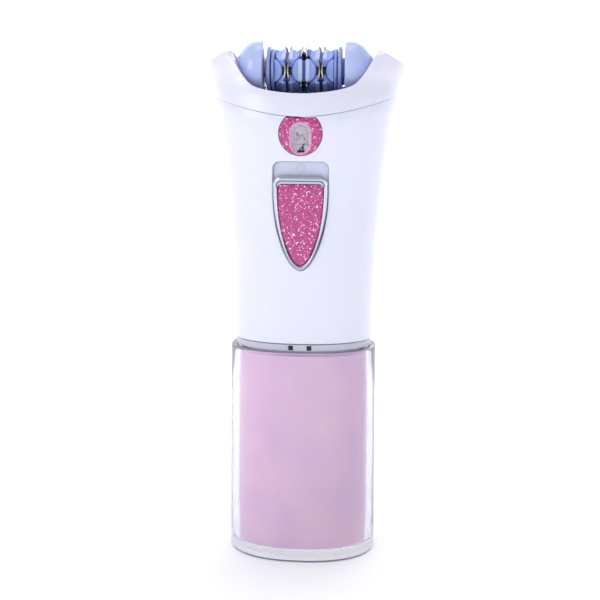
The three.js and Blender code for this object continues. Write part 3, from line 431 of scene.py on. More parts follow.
class Surface:
    """Material with procedural textures laid in the piece's own space, sized in millimetres."""

    def __init__(self, name):
        self.material = bpy.data.materials.new(name)
        self.material.use_nodes = True
        self.tree = self.material.node_tree
        self.shader = self.tree.nodes["Principled BSDF"]
        self.place = self.add("ShaderNodeTexCoord").outputs["Object"]
        MATERIALS[name] = self.material

    def add(self, kind, inputs=None, **settings):
        node = self.tree.nodes.new(kind)
        for key, value in settings.items():
            setattr(node, key, value)
        for key, value in (inputs or {}).items():
            node.inputs[key].default_value = value
        return node

    def link(self, source, target):
        self.tree.links.new(source, target)

    def drive(self, name, output):
        self.link(output, self.shader.inputs[name])

    def noise(self, size, detail=2.0, place=None):
        node = self.add("ShaderNodeTexNoise", {"Scale": 1 / (size * MM), "Detail": detail})
        self.link(place or self.place, node.inputs["Vector"])
        return node.outputs["Fac"]

    def stretched(self, stretch):
        """Texture place squeezed along each axis, for marks that run one way."""
        mapping = self.add("ShaderNodeMapping", {"Scale": stretch})
        self.link(self.place, mapping.inputs["Vector"])
        return mapping.outputs["Vector"]

    def split(self, kind, source, name):
        node = self.add(kind)
        self.link(source, node.inputs[name])
        return node.outputs

    def ramp(self, source, stops, interpolation="LINEAR"):
        """Colour ramp; stops are (position, display colour) pairs."""
        node = self.add("ShaderNodeValToRGB")
        band = node.color_ramp
        band.interpolation = interpolation
        while len(band.elements) < len(stops):
            band.elements.new(0.5)
        for element, (position, colour) in zip(band.elements, stops):
            element.position = position
            element.color = srgb(*colour)
        self.link(source, node.inputs["Fac"])
        return node.outputs["Color"]

    def spread(self, source, low, high, start=0.3, end=0.7):
        """Number between low and high that follows a texture."""
        node = self.add("ShaderNodeMapRange", {
            "From Min": start, "From Max": end, "To Min": low, "To Max": high})
        self.link(source, node.inputs["Value"])
        return node.outputs["Result"]

    def finish(self, colour, roughness, height, depth, **values):
        """Base colour, roughness and bumps of a depth, then fixed values by input name."""
        bump = self.add("ShaderNodeBump", {"Distance": depth * MM, "Strength": 1.0})
        self.link(height, bump.inputs["Height"])
        self.drive("Base Color", colour)
        self.drive("Roughness", roughness)
        self.drive("Normal", bump.outputs["Normal"])
        for key, value in values.items():
            self.shader.inputs[key.replace("_", " ")].default_value = value

    def mix(self, share, first, second):
        """Mixed shader; the share is a number or an output."""
        node = self.add("ShaderNodeMixShader")
        if isinstance(share, float):
            node.inputs["Fac"].default_value = share
        else:
            self.link(share, node.inputs["Fac"])
        self.link(first, node.inputs[1])
        self.link(second, node.inputs[2])
        return node.outputs["Shader"]


def moulded(name, colour, shade, gloss, grain=0.02, grain_size=0.35, patch=9.0, **values):
    """Moulded plastic: two close colours in soft patches, uneven gloss and a fine grain."""
    surface = Surface(name)
    surface.finish(
        surface.ramp(surface.noise(patch, 3), [(0.3, shade), (0.7, colour)]),
        surface.spread(surface.noise(2.5, 4), gloss * 0.92, gloss * 1.08),
        surface.noise(grain_size, 3), grain, **values)


def metal(name, colour, shade, gloss, stretch):
    """Metal with brush marks along the squeezed directions."""
    surface = Surface(name)
    marks = surface.noise(0.6, 4, surface.stretched(stretch))
    surface.finish(
        surface.ramp(marks, [(0.35, shade), (0.65, colour)]),
        surface.spread(marks, gloss * 0.7, gloss * 1.4), marks, 0.01, Metallic=1.0)


def glitter(name, base, deep, bright):
    """Clear-coated colour full of tiny reflecting flakes."""
    surface = Surface(name)
    flakes = surface.add("ShaderNodeTexVoronoi", {"Scale": 1 / (0.3 * MM)})
    surface.link(surface.place, flakes.inputs["Vector"])
    tone = surface.split("ShaderNodeSeparateColor", flakes.outputs["Color"], "Color")
    tones = [(0.0, deep), (0.4, base), (0.89, bright), (0.965, (255, 245.8, 251.6))]
    surface.drive("Metallic", surface.spread(tone["Red"], 0.0, 0.6, 0.88, 0.9))
    surface.finish(
        surface.ramp(tone["Red"], tones, "CONSTANT"),
        surface.spread(tone["Green"], 0.25, 0.55, 0, 1), tone["Blue"], 0.09, **coat(1.0))


def clear(name, tint, index, gloss, haze):
    """Clear plastic with a little milky haze, faint ripples, painted dark lines along its grazing edges
    and a shadow that lets light by.
    """
    surface = Surface(name)
    body = surface.ramp(surface.noise(12, 2), [(0.3, tint), (0.7, WHITE)])
    slant = surface.add("ShaderNodeLayerWeight").outputs["Facing"]
    # painted shade: colour and specular tint turn navy where the surface turns edge-on
    rim = surface.ramp(slant, [(0.4, WHITE), (0.78, (222, 223, 242)), (0.95, (96, 104, 150))])
    tint_and_painted_edge_shade = surface.add("ShaderNodeVectorMath", operation="MULTIPLY")
    surface.link(body, tint_and_painted_edge_shade.inputs[0])
    surface.link(rim, tint_and_painted_edge_shade.inputs[1])
    surface.drive("Specular Tint", rim)
    surface.finish(
        tint_and_painted_edge_shade.outputs["Vector"], surface.spread(surface.noise(1.2, 3), gloss * 0.4, gloss),
        surface.noise(6, 1), 0.008, Transmission_Weight=1.0, IOR=index)
    milk = surface.add("ShaderNodeBsdfDiffuse", {"Color": srgb(246, 244, 255)}).outputs["BSDF"]
    clouded = surface.mix(haze, surface.shader.outputs["BSDF"], milk)
    shadow = surface.add("ShaderNodeLightPath").outputs["Is Shadow Ray"]
    through = surface.add("ShaderNodeBsdfTransparent", {"Color": (0.97, 0.96, 0.99, 1)})
    mixed = surface.mix(shadow, clouded, through.outputs["BSDF"])
    surface.link(mixed, surface.tree.nodes["Material Output"].inputs["Surface"])


def painted_reflection_metal(name):
    """Polished metal whose colour is a painted reflection: light and dark bands by how far each facet
    looks up, as a bright room would show in it.
    """
    surface = Surface(name)
    normal = surface.add("ShaderNodeTexCoord").outputs["Normal"]
    upward = surface.split("ShaderNodeSeparateXYZ", normal, "Vector")["Z"]
    # painted reflection: bright and dark bands of a room, picked by the facet's upward slope
    stops = [
        (0.0, (222, 226, 240)), (0.3, (190, 195, 212)), (0.4, (56, 60, 80)),
        (0.46, (196, 201, 217)), (0.52, (232, 235, 246)), (0.6, (250, 251, 255)),
        (0.67, (84, 90, 110)), (0.73, (226, 230, 242)), (1.0, (140, 146, 168))]
    surface.finish(
        surface.ramp(surface.spread(upward, 0, 1, -1, 1), stops),
        surface.spread(surface.noise(1.5, 4), 0.1, 0.2), surface.noise(0.8, 3), 0.003,
        Metallic=1.0)


def cell_wrap(name, low, high):
    """Printed sleeve of a battery cell: a plain body with one contrasting band."""
    surface = Surface(name)
    up = surface.split("ShaderNodeSeparateXYZ", surface.place, "Vector")["Z"]
    silver, blue, gold = (206, 208, 214), (52, 74, 128), (196, 160, 74)
    stops = [(0.0, silver), (0.03, blue), (0.7, gold), (0.97, silver)]
    height = surface.spread(up, 0, 1, low * MM, high * MM)
    surface.finish(
        surface.ramp(height, stops, "CONSTANT"), surface.spread(surface.noise(3, 3), 0.18, 0.32),
        surface.noise(0.5, 2), 0.01, Metallic=0.55, **coat(0.6))


def circuit(name):
    """Green solder mask over faint tracks, with fine glass weave."""
    surface = Surface(name)
    tracks = surface.add("ShaderNodeTexBrick", {
        "Scale": 1 / (6 * MM), "Mortar Size": 0.06, "Mortar": srgb(74, 140, 78),
        "Color1": srgb(34, 104, 58), "Color2": srgb(28, 92, 50)})
    surface.link(surface.stretched((1, 0, 1)), tracks.inputs["Vector"])
    surface.finish(
        tracks.outputs["Color"], surface.spread(surface.noise(2, 3), 0.3, 0.5),
        surface.noise(0.3, 2), 0.02, **coat(0.4))


def skin(weight, depth):
    """Light scattered under a surface, to a depth in millimetres."""
    return {"Subsurface_Weight": weight, "Subsurface_Scale": depth * MM}


def coat(weight, gloss=0.03):
    return {"Coat_Weight": weight, "Coat_Roughness": gloss}


def glow(strength, colour):
    return {"Emission_Strength": strength, "Emission_Color": colour}


def make_materials():
    """Every material, by the name that finish_piece looks it up by."""
    moulded("white_gloss", (235, 235, 251), (233, 233, 249), 0.3, 0.001, 1.2, 14.0,
            **skin(0.15, 4), **coat(0.45, 0.2))
    moulded("grey_plastic", (205, 207, 220), (196, 198, 213), 0.35)
    moulded("panel_grey", (212, 215, 236), (203, 206, 230), 0.3)
    # painted light: the dish glows faintly though it is no lamp
    moulded("dish_white_painted_glow", (246, 240, 250), (236, 230, 244), 0.3, 0.01,
            **glow(0.16, (0.9, 0.88, 0.95, 1)))
    moulded("drum_blue", (170, 194, 255), (156, 181, 250), 0.26, 0.01, **skin(0.25, 2))
    # painted highlight: a lighter copy of the drum blue for the ribs
    moulded("rib_painted_highlight_blue", (208, 219, 255), (198, 211, 253), 0.26, 0.01, **skin(0.25, 2))
    # painted shade: a darker copy of the drum blue for the groove fillers
    moulded("groove_painted_shade_blue", (96, 122, 206), (84, 108, 190), 0.35)
    # painted shade: deep navy for the drum hub, the trough and its lip, where shade falls under and
    # between the bosses
    moulded("painted_shade_navy", (34, 50, 126), (22, 36, 98), 0.35)
    moulded("flange_blue", (152, 168, 224), (138, 154, 212), 0.3)
    moulded("pale_blue", (195, 208, 252), (185, 198, 248), 0.2, 0.006, **skin(0.2, 3), **coat(0.4))
    moulded("pink_plastic", (252, 206, 234), (248, 199, 229), 0.42, 0.02, 0.5, **skin(0.1, 3))
    # painted highlight: pale pink for the rim round the lens window
    moulded("rim_painted_highlight_pink", (226, 172, 208), (214, 150, 192), 0.15, 0.01, 1.5, **coat(0.6))
    # painted shade: colour of the dark line in the clear cup's foot
    moulded("painted_foot_shade", (112, 121, 162), (92, 101, 144), 0.25, 0.01)
    moulded("gear_nylon", (243, 239, 226), (235, 229, 212), 0.42, **skin(0.3, 2))
    moulded("magnet", (58, 58, 62), (44, 44, 48), 0.6, 0.05, 0.3)
    moulded("lead_red", (200, 40, 40), (180, 30, 30), 0.4)
    moulded("lead_black", (44, 44, 48), (32, 32, 36), 0.45)
    moulded("dark_plastic", (30, 28, 34), (20, 18, 24), 0.4)
    glitter("pink_glitter", (196, 50, 136), (172, 36, 116), (240, 156, 208))
    clear("clear_plastic", (246, 245, 255), 1.37, 0.05, 0.1)
    clear("led_epoxy", (250, 248, 252), 1.25, 0.08, 0.1)
    painted_reflection_metal("chrome")
    metal("steel", (205, 207, 214), (176, 179, 188), 0.3, (0.15, 1, 1))
    metal("spring_steel", (214, 208, 204), (168, 156, 150), 0.22, (1, 0.25, 0.25))
    metal("brass", (222, 188, 116), (188, 150, 84), 0.28, (1, 1, 0.3))
    circuit("board")
    cell_wrap("cell_wrap", *(corner.z for corner in node_box("battery_left")))


def finish_piece(piece, body, look, *nodes, slot=None):
    """Gives a piece its material and body, and hides the CAD nodes it stands for. The slot is not used.
    """
    piece.data.materials.clear()
    piece.data.materials.append(MATERIALS[look])
    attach(piece, body)
    if nodes:
        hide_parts(*nodes)


def add_piece(name, shape, body, look, *nodes, slot=None, sharp_angle=SHARP_ANGLE):
    """Piece that is one shape, with nothing cut out of it."""
    piece = build_mesh(name, shape, sharp_angle)
    finish_piece(piece, body, look, *nodes, slot=slot)
    return piece


# ---------------- battery cup


def cup_rows(profile):
    """Oval rows of the cup through (inset, height) pairs."""
    rows = []
    for inset, z in profile:
        half_x = CUP_BASE_X + (CUP_TOP_X - CUP_BASE_X) * z / CUP_HEIGHT - inset
        rows.append(oval_row(half_x, CUP_Y - inset, z))
    return rows


def cup_wall(outer, wall, low, high, floor, foot, lip):
    """Profile of a cup: foot fillet, outside wall, rounded lip, inside and floor."""
    fillet, middle, flat = 1.0, 8, 0.6
    inside = outer + wall
    profile = [(outer + middle, low), (outer + foot + flat, low)]
    profile += arc((outer + foot, low + foot), foot, 270, 180, 6)
    profile += [(outer, low + (high - low) * t) for t in (0.2, 0.4, 0.6, 0.8)]
    profile += arc((outer + lip, high - lip), lip, 180, 90, 5)
    profile += arc((inside - lip, high - lip), lip, 90, 0, 5)
    profile += [(inside, low + (high - low) * t) for t in (0.8, 0.5, 0.2)]
    profile += arc((inside + fillet, low + floor + fillet), fillet, 180, 270, 4)
    profile.append((inside + middle, low + floor))
    return profile


def make_cup():
    outer = cup_wall(0, CUP_WALL, 0, CUP_HEIGHT, CUP_FLOOR, 0.9, 0.5)
    add_piece(
        "cup_clear_wall", capped(cup_rows(outer)), "battery_cup", "clear_plastic", "clear_cup",
        sharp_angle=60)
    # thin navy ring inside the clear foot: a painted shade line, not a part of the cup
    line = [(0.45, 0.3), (0.55, 0.2), (0.95, 0.2), (1.05, 0.3), (0.95, 0.55), (0.6, 0.55)]
    add_piece(
        "cup_foot_painted_shade_line", grid(cup_rows(line), closed=True), "battery_cup", "painted_foot_shade",
        slot="clear_plastic", sharp_angle=60)
    inner = cup_wall(
        CUP_WALL + INNER_GAP, INNER_WALL, INNER_LOW, INNER_HIGH, INNER_WALL, 0.7, 0.4)
    add_piece(
        "cup_pink_lining", capped(cup_rows(inner)), "battery_cup", "pink_plastic", "inner_cup",
        sharp_angle=60)


# ---------------- handle shells


def fillet_cutter(name, outline, flare, deep=9.0, tall=3.0):
    """Plug for an opening in the front face, with a flared mouth that rounds the edge."""
    outline = [Vector(point) for point in outline]
    edges = [b - a for a, b in zip(outline[-1:] + outline, outline[1:] + outline[:1])]
    normals = [Vector((edge.y, -edge.x)).normalized() for edge in edges]
    levels = [(0, -deep), (0, -deep / 3), *arc((flare, -flare), flare, 180, 90, 5)]
    levels.append((flare * 3, tall))
    rows = []
    for grow, height in levels:
        rows.append(front_row([p + n * grow for p, n in zip(outline, normals)], height))
    return build_mesh(name, capped(rows), 60)


def crease(x, z):
    """Height of the soft step under the seam, which runs from its ends to the lens."""
    line = LENS_Z + 1.5 + (SEAM_EDGE - LENS_Z - 2.5) * (abs(x) / SEAM_EDGE_X) ** 1.1
    return 0.22 * smooth_step(line - 1.6, line + 1.4, z)


def shell_sheet(side, offset, columns=110, rows=84):
    """Rows of one half of the casing from its foot to the seam."""
    split = 0.004
    start = split - pi if side < 0 else split
    sheet = [[] for _ in range(rows + 1)]
    for i in range(columns + 1):
        angle = start + (pi - 2 * split) * i / columns
        top = seam_at(angle)
        x = handle_point(angle, SEAM_CENTRE).x
        for row, line in enumerate(sheet):
            z = SHELL_BOTTOM + (top - SHELL_BOTTOM) * row / rows
            sunk = crease(x, z) if side < 0 and offset == 0 else 0
            line.append(handle_point(angle, z, offset - sunk))
    return sheet


def make_shell(name, side):
    return build_mesh(name, slab(shell_sheet(side, 0), shell_sheet(side, -SHELL_WALL)))


def make_front_shell():
    shell = make_shell("handle_front", -1)
    slot = shield_outline(SHIELD_BOTTOM - 0.2, SLOT_TOP, SHIELD_HALF + 0.2)
    combine(shell, [
        fillet_cutter("slot_cutter", slot, 0.35),
        fillet_cutter("lens_cutter", circle_outline(LENS_RADIUS + 0.02, LENS_Z), 0.12),
    ])
    finish_piece(shell, "handle", "white_gloss", "front_shell")


def make_rear_shell():
    """Rear half of the casing with a flared well for each screw."""
    shell = make_shell("handle_rear", 1)
    profile = [(0, -6), (2.3, -6), (2.3, -0.3), (2.35, -0.1), (2.6, 0.04), (3.4, 1.5), (0, 1.5)]
    wells = []
    for z in SCREW_HEIGHTS:
        wells.append(build_mesh("screw_well", turned(profile, "z", (0, 0, 0), 40)))
        face_back(wells[-1], outline_at(2, z), z)
    combine(shell, wells)
    finish_piece(shell, "handle", "white_gloss", "rear_shell")


def cross_bar(half_x, half_y, low, high):
    """Bar of a cross recess, narrower at its foot than at its mouth."""
    plan = ((-half_x, -half_y), (half_x, -half_y), (half_x, half_y), (-half_x, half_y))
    levels = ((low, 0.55), (high, 1.0))
    return capped([[Vector((x * share, y * share, z)) for x, y in plan] for z, share in levels])


def make_screws():
    """Pan-head screws with a cross recess, sunk in the rear shell."""
    for i, z in enumerate(SCREW_HEIGHTS, 1):
        node = f"casing_screw_{i}"
        low, high = node_box(node)
        length = high.y - low.y
        profile = [(0, 0)]
        for turn in range(11):
            profile += [(0.62, 0.35 + turn * 0.42), (0.9, 0.56 + turn * 0.42)]
        profile += [(0.85, length - 1.25), (1.9, length - 1.2), (2.0, length - 1.05)]
        profile += [(2.0, length - 0.6), (1.75, length - 0.22), (1.1, length - 0.04), (0, length)]
        screw = build_mesh(f"screw_{i}", turned(profile, "z", (0, 0, 0), 40), 30)
        bars = [cross_bar(*half, length - 0.8, length + 0.3) for half in ((1.2, 0.2), (0.2, 1.2))]
        combine(screw, [build_mesh("cross", bar) for bar in bars])
        face_back(screw, low.y, z)
        finish_piece(screw, "handle", "steel", node)


def square(centre, half):
    """Upright square facing the front, as a row of its corners."""
    return [centre + Vector((x, 0, z)) * half for x, z in ((-1, -1), (1, -1), (1, 1), (-1, 1))]


def make_neck():
    """Grey ring between the cup and the shells, with its two latch windows."""
    low, high = node_box("neck_ring")
    flange_low, lower_edge, upper_edge, core = CUP_HEIGHT + 0.3, 0.3, 0.25, (2.0375, 1.4)
    profile = [(2.9, low.z), (2.7, low.z + 0.3), (2.7, flange_low), (0.35, flange_low)]
    profile += arc((lower_edge, flange_low + lower_edge), lower_edge, 270, 180, 3)
    profile += arc((upper_edge, high.z - upper_edge), upper_edge, 180, 90, 3)
    profile.append((2, high.z))
    rows = [oval_row(high.x - inset, high.y - inset, z) for inset, z in profile]
    rows = [oval_row(*core, low.z), *rows, oval_row(*core, high.z)]
    neck = build_mesh("neck_collar", capped(rows), 50)
    windows, shade_plates = [], []
    for x in (-LATCH_SPREAD, LATCH_SPREAD):
        mouth = Vector((x, -high.y, high.z - LATCH_DROP))
        crown, front, back, end = (
            mouth + Vector((0, depth, 0)) for depth in (0.42, 0.5, LATCH_DEPTH - 0.05, LATCH_DEPTH))
        tool = [square(mouth - Vector((0, 1, 0)), LATCH_SIDE / 2), square(end, LATCH_SIDE / 2)]
        windows.append(build_mesh("window", capped(tool)))
        # dark plates at the floor of each window: painted shade of the deep windows
        fill = LATCH_SIDE / 2 * 0.92
        shade_plates.append(grid([[crown], square(front, fill), square(back, fill), [back]]))
    combine(neck, windows)
    finish_piece(neck, "handle", "grey_plastic", "neck_ring")
    add_piece(
        "latch_window_painted_shade", join_shapes(shade_plates), "handle", "dark_plastic", slot="grey_plastic")


# ---------------- head


def mouth_curve(steps=24):
    """Right half of the collar's mouth, from its middle to the ear, as (x, z) points."""
    knots = [Vector(k) for k in MOUTH_KNOTS]
    knots = [Vector((-knots[1].x, knots[1].y))] + knots + [knots[-1]]
    points = []
    for before, start, end, after in zip(knots, knots[1:], knots[2:], knots[3:]):
        for i in range(steps):
            points.append(hermite(start, (end - before) / 2, end, (after - start) / 2, i / steps))
    return points + [knots[-1]]


MOUTH = mouth_curve()


def rim_height(x, y):
    """Top of the collar over a point of its plan."""
    x = abs(x)
    if x >= EAR_INNER[0]:
        slope = (EAR_OUTER[1] - EAR_INNER[1]) / (EAR_OUTER[0] - EAR_INNER[0])
        height = EAR_INNER[1] + slope * (x - EAR_INNER[0])
    else:
        after = next(i for i, point in enumerate(MOUTH) if point.x > x)
        low, high = MOUTH[after - 1], MOUTH[after]
        height = low.y + (high.y - low.y) * (x - low.x) / (high.x - low.x)
    bow = max(0.0, 1 - (y / ARCH_HALF) ** 2)
    return min(height, ARCH_SPRING + ARCH_RISE * sqrt(bow))


def collar_inside(angle, z):
    """Point of the collar's inner wall, which narrows under the ears."""
    wide = outline_at(1, z) - SHELL_WALL
    narrow = min(wide, EAR_INNER[0] + 0.05)
    half_x = wide + (narrow - wide) * smooth_step(127.5, 130.5, z)
    return oval_point(angle, half_x, outline_at(2, z) - SHELL_WALL, z)


def wall_top(wall, angle):
    """Height at which a wall of the collar meets its rim."""
    low, high = 126.0, 141.9
    for _ in range(30):
        middle = (low + high) / 2
        point = wall(angle, middle)
        if middle < rim_height(point.x, point.y):
            low = middle
        else:
            high = middle
    return low


def collar_column(angle, outer_rows=34, rim_rows=5, inner_rows=22):
    """Points up the collar's outside, over its rim and down its inside."""
    foot = seam_at(angle) + SEAM_GAP
    top, inner_top = wall_top(handle_point, angle), wall_top(collar_inside, angle)
    column = []
    for i in range(outer_rows + 1):
        column.append(handle_point(angle, foot + (top - foot) * i / outer_rows))
    start, end = column[-1], collar_inside(angle, inner_top)
    for i in range(1, rim_rows):
        point = start.lerp(end, i / rim_rows)
        column.append(Vector((point.x, point.y, rim_height(point.x, point.y))))
    for i in range(inner_rows + 1):
        column.append(collar_inside(angle, inner_top + (foot - inner_top) * i / inner_rows))
    return column


def make_collar():
    columns = [collar_column(angle) for angle in full_turn(384)]
    collar = add_piece(
        "collar_shell", grid(list(zip(*columns)), closed=True), "head", "white_gloss", "head_collar")
    soften(collar, 0.42, 4, 35)


def rod(name, radius, low, high, centre=DRUM_CENTRE, steps=24):
    """Round bar along X through a centre, to cut a bore with."""
    profile = [(0, low), (radius, low), (radius, high), (0, high)]
    return build_mesh(name, turned(profile, "x", centre, steps))


def make_cheek(side, name, node):
    """Domed end of the head, hollow, with a bush hole and a slot for the gear under it."""
    edge = arc((CHEEK_RADIUS - 0.6, CHEEK_INNER + 0.6), 0.6, -90, 0, 5)
    outer = [(0, CHEEK_INNER)] + edge + dome(CHEEK_RADIUS, CHEEK_CROWN, CHEEK_OUTER)
    inside_radius, inside_face = CHEEK_RADIUS - CHEEK_WALL, CHEEK_INNER + CHEEK_WALL
    inside = [(0, inside_face), (inside_radius - 0.5, inside_face)]
    inside += dome(inside_radius, CHEEK_CROWN + CHEEK_WALL, CHEEK_OUTER - CHEEK_WALL)
    cheek = build_mesh(name, turned(outer, "x", DRUM_CENTRE, 120))
    combine(cheek, [
        build_mesh("hollow", turned(inside, "x", DRUM_CENTRE, 120)),
        rod("bore", BUSH_RADIUS, CHEEK_INNER - 1, CHEEK_INNER + 2, steps=48),
        build_mesh("gear_slot", block(*CHEEK_SLOT)),
    ])
    put_on_side(cheek, side)
    finish_piece(cheek, "head", "pale_blue", node)


def make_trough_lip():
    """Rear lip of the trough, which closes the view under the drum; its deep navy is painted shade."""
    section = (
        (-LIP_HALF, LIP_INNER), (LIP_HALF, LIP_INNER), (LIP_HALF, LIP_OUTER), (-LIP_HALF, LIP_OUTER))
    steps = 12
    rows = []
    for i in range(steps + 1):
        angle = LIP_START + LIP_SWEEP * i / steps
        rows.append([
            DRUM_CENTRE + Vector((x, radius * sin(angle), -radius * cos(angle)))
            for x, radius in section])
    lip = add_piece(
        "trough_lip_painted_shade", capped(rows), "head", "painted_shade_navy", slot="pale_blue", sharp_angle=50)
    soften(lip, 0.15, 2)


# ---------------- drum


def around_drum(x, sideways, out, row):
    """Point at a distance out along a row of bosses, and sideways round the drum."""
    angle = tau * row / BOSS_ROWS
    outwards = Vector((0, -cos(angle), sin(angle)))
    across = Vector((0, sin(angle), cos(angle)))
    return DRUM_CENTRE + Vector((x, 0, 0)) + outwards * out + across * sideways


ROD_PLACES = [around_drum(0, 0, ROD_RING, 2 * i + 0.5) for i in range(3)]


def boss_outline(low, high, curve=22, flat=8):
    """Round boss cut flat at two widths, as (along, across) points about its centre."""
    first, last = acos(high / BOSS_RADIUS), acos(low / BOSS_RADIUS)
    angles = [first + (last - first) * i / curve for i in range(curve + 1)]
    upper = [Vector((cos(a), sin(a))) * BOSS_RADIUS for a in angles]
    lower = [Vector((p.x, -p.y)) for p in reversed(upper)]
    near = [upper[-1].lerp(lower[0], i / flat) for i in range(1, flat)]
    far = [lower[-1].lerp(upper[0], i / flat) for i in range(1, flat)]
    return upper + near + lower + far


def boss_shape(x, row, low, high, edge=0.32):
    """Part of a boss between two widths from its centre, flat on top with a rounded edge."""
    low, high = max(low, -BOSS_RADIUS), min(high, BOSS_RADIUS)
    outline = boss_outline(low, high)
    middle = Vector(((low + high) / 2, 0))

    def level(points, out):
        return [around_drum(x + p.x, p.y, out, row) for p in points]

    rows = [level(outline, HUB_RADIUS - 0.6)]
    for inset, drop in arc((edge, edge), edge, 180, 270, 5):
        drawn_in = []
        for p in outline:
            drawn_in.append(middle + (p - middle) * max(0.0, 1 - inset / (p - middle).length))
        rows.append(level(drawn_in, BOSS_FACE - drop))
    for share in (0.6, 0.3):
        rows.append(level([middle + (p - middle) * share for p in outline], BOSS_FACE))
    return capped(rows)


def drum_bar(x, row, low, high, foot, top):
    """Straight bar across the drum between two places along it."""
    low, high = sorted((low, high))
    corners = ((low, -RIB_HALF), (high, -RIB_HALF), (high, RIB_HALF), (low, RIB_HALF))
    return capped([[around_drum(x + u, v, out, row) for u, v in corners] for out in (foot, top)])


def make_drum_segment(letter, start, end):
    """Hub of one length of the drum, and the parts of the staggered bosses that stand on it."""
    node = f"drum_segment_{letter}"
    profile = [(AXLE_BORE, start), (HUB_RADIUS, start), (HUB_RADIUS, end), (AXLE_BORE, end)]
    hub = build_mesh(f"drum_hub_{letter}", turned(profile, "x", DRUM_CENTRE, 72, closed=True))
    combine(hub, [rod("rod_bore", ROD_BORE, start - 1, end + 1, place) for place in ROD_PLACES])
    # the hub is painted deep navy: painted shade between the bosses
    finish_piece(hub, "drum", "painted_shade_navy", node, slot="drum_blue")

    bosses, ribs, grooves = [], [], []
    for row in range(BOSS_ROWS):
        odd = row % 2
        for step in range(-2 + odd, 3 - odd, 2):
            centre = step * BOSS_PITCH
            low, high = start - centre, end - centre
            if high <= 0.2 - BOSS_RADIUS or low >= BOSS_RADIUS - 0.2:
                continue
            bosses.append(boss_shape(centre, row, low, high))
            for edge in (low, high):
                if abs(edge) > BLADE_SLOT * 0.75:
                    continue
                side = copysign(1, edge)
                ribs.append(drum_bar(
                    centre, row, side * RIB_INNER, side * RIB_OUTER, BOSS_FACE - 0.4, RIB_TOP))
                grooves.append(drum_bar(
                    centre, row, edge + side * 0.1, side * GROOVE_GAP, GROOVE_LOW, GROOVE_HIGH))
    # ribs are painted lighter (painted highlight) and groove fillers darker (painted shade) than the
    # bosses
    parts = (
        ("bosses", bosses, "drum_blue"), ("ribs", ribs, "rib_painted_highlight_blue"), ("groove", grooves, "groove_painted_shade_blue"))
    for part, shapes, look in parts:
        piece = add_piece(
            f"drum_{part}_{letter}", join_shapes(shapes), "drum", look, node, slot="drum_blue",
            sharp_angle=50)
        if part == "ribs":
            soften(piece, 0.2)


def make_flange(side, name, node):
    """Two thin round-edged plates on one hub at an end of the drum."""
    soft = 0.28
    profile = [(AXLE_BORE, FLANGE_INNER)]
    for foot, thickness, radius in FLANGE_PLATES:
        far = foot + thickness
        profile += [(HUB_RADIUS, foot)] if foot > FLANGE_INNER else []
        profile += arc((radius - soft, foot + soft), soft, -90, 0, 4)
        profile += arc((radius - soft, far - soft), soft, 0, 90, 4)
        profile.append((HUB_RADIUS, far))
    profile += [(HUB_RADIUS, FLANGE_OUTER), (AXLE_BORE, FLANGE_OUTER)]
    flange = build_mesh(name, turned(profile, "x", DRUM_CENTRE, 120, closed=True))
    put_on_side(flange, side)
    finish_piece(flange, "drum", "flange_blue", node, slot="drum_blue")


# ---------------- tweezer blades


def finger_half(radius):
    for (low, start), (high, end) in zip(FINGER, FINGER[1:]):
        if radius <= high:
            return start + (end - start) * smooth_step(low, high, radius)
    return FINGER[-1][1]


def finger_shape(near, far, side, row, steps=16, columns=18):
    """Finger of a blade whose flared tip bends away from its partner at both ends."""
    foot, tip = FINGER[0][0], FINGER[-1][0]
    sheets = []
    for x in (near, far):
        sheet = []
        for k in range(steps + 1):
            radius = foot + (tip - foot) * k / steps
            line = []
            for i in range(columns + 1):
                share = 2 * i / columns - 1
                bend = BLADE_SPLAY * share * share * smooth_step(3.9, 6.4, radius)
                angle = share * finger_half(radius)
                line.append(around_drum(
                    x + side * bend, radius * sin(angle), radius * cos(angle), row))
            sheet.append(line)
        sheets.append(sheet)
    return slab(*sheets)


def make_blade(kind, place, body, x, side, first_row, bore):
    """Three-fingered disc on one side of a blade pair's middle plane."""
    near, far = x + side * BLADE_OFFSET, x + side * (BLADE_OFFSET + BLADE_THICKNESS)
    thin = 0.02 * side
    profile = [(AXLE_BORE, near + thin), (BLADE_HUB, near + thin)]
    profile += [(BLADE_HUB, far - thin), (AXLE_BORE, far - thin)]
    disc = build_mesh(
        f"tweezer_{kind}_{place}", turned(profile, "x", DRUM_CENTRE, 72, closed=True))
    combine(disc, [rod("rod_bore", bore, x - 1, x + 1, centre) for centre in ROD_PLACES])
    rows = (first_row, first_row + 2, first_row + 4)
    fingers = [build_mesh("finger", finger_shape(near, far, side, row)) for row in rows]
    combine(disc, fingers, "UNION")
    finish_piece(disc, body, "spring_steel", f"blade_{kind}_{place}")


# ---------------- lamp


def make_lens():
    """Round glittering pane with an oval window, clipped by the seam, with rounded edges."""
    window = capsule_outline()
    edge = circle_outline(LENS_RADIUS - LENS_GAP, LENS_Z, len(window))
    edge = [(x, min(z, seam_height(x) - SEAM_GAP)) for x, z in edge]
    soft, back, sunk = 0.35, -LENS_DEPTH, 0.06
    levels = [(0.0, back), (0.0, -soft), (0.03, -0.3 * soft), (0.06, 0.0)]
    levels += [(share, sunk) for share in (0.12, 0.2, 0.32, 0.44, 0.56, 0.68, 0.8, 0.88)]
    levels += [(0.93, 0.02), (0.97, -0.3 * soft), (1.0, -soft), (1.0, back)]
    rows = [front_row(between(edge, window, share), height - sunk) for share, height in levels]
    add_piece(
        "lamp_lens", grid(rows, closed=True), "handle", "pink_glitter", "led_lens", sharp_angle=60)


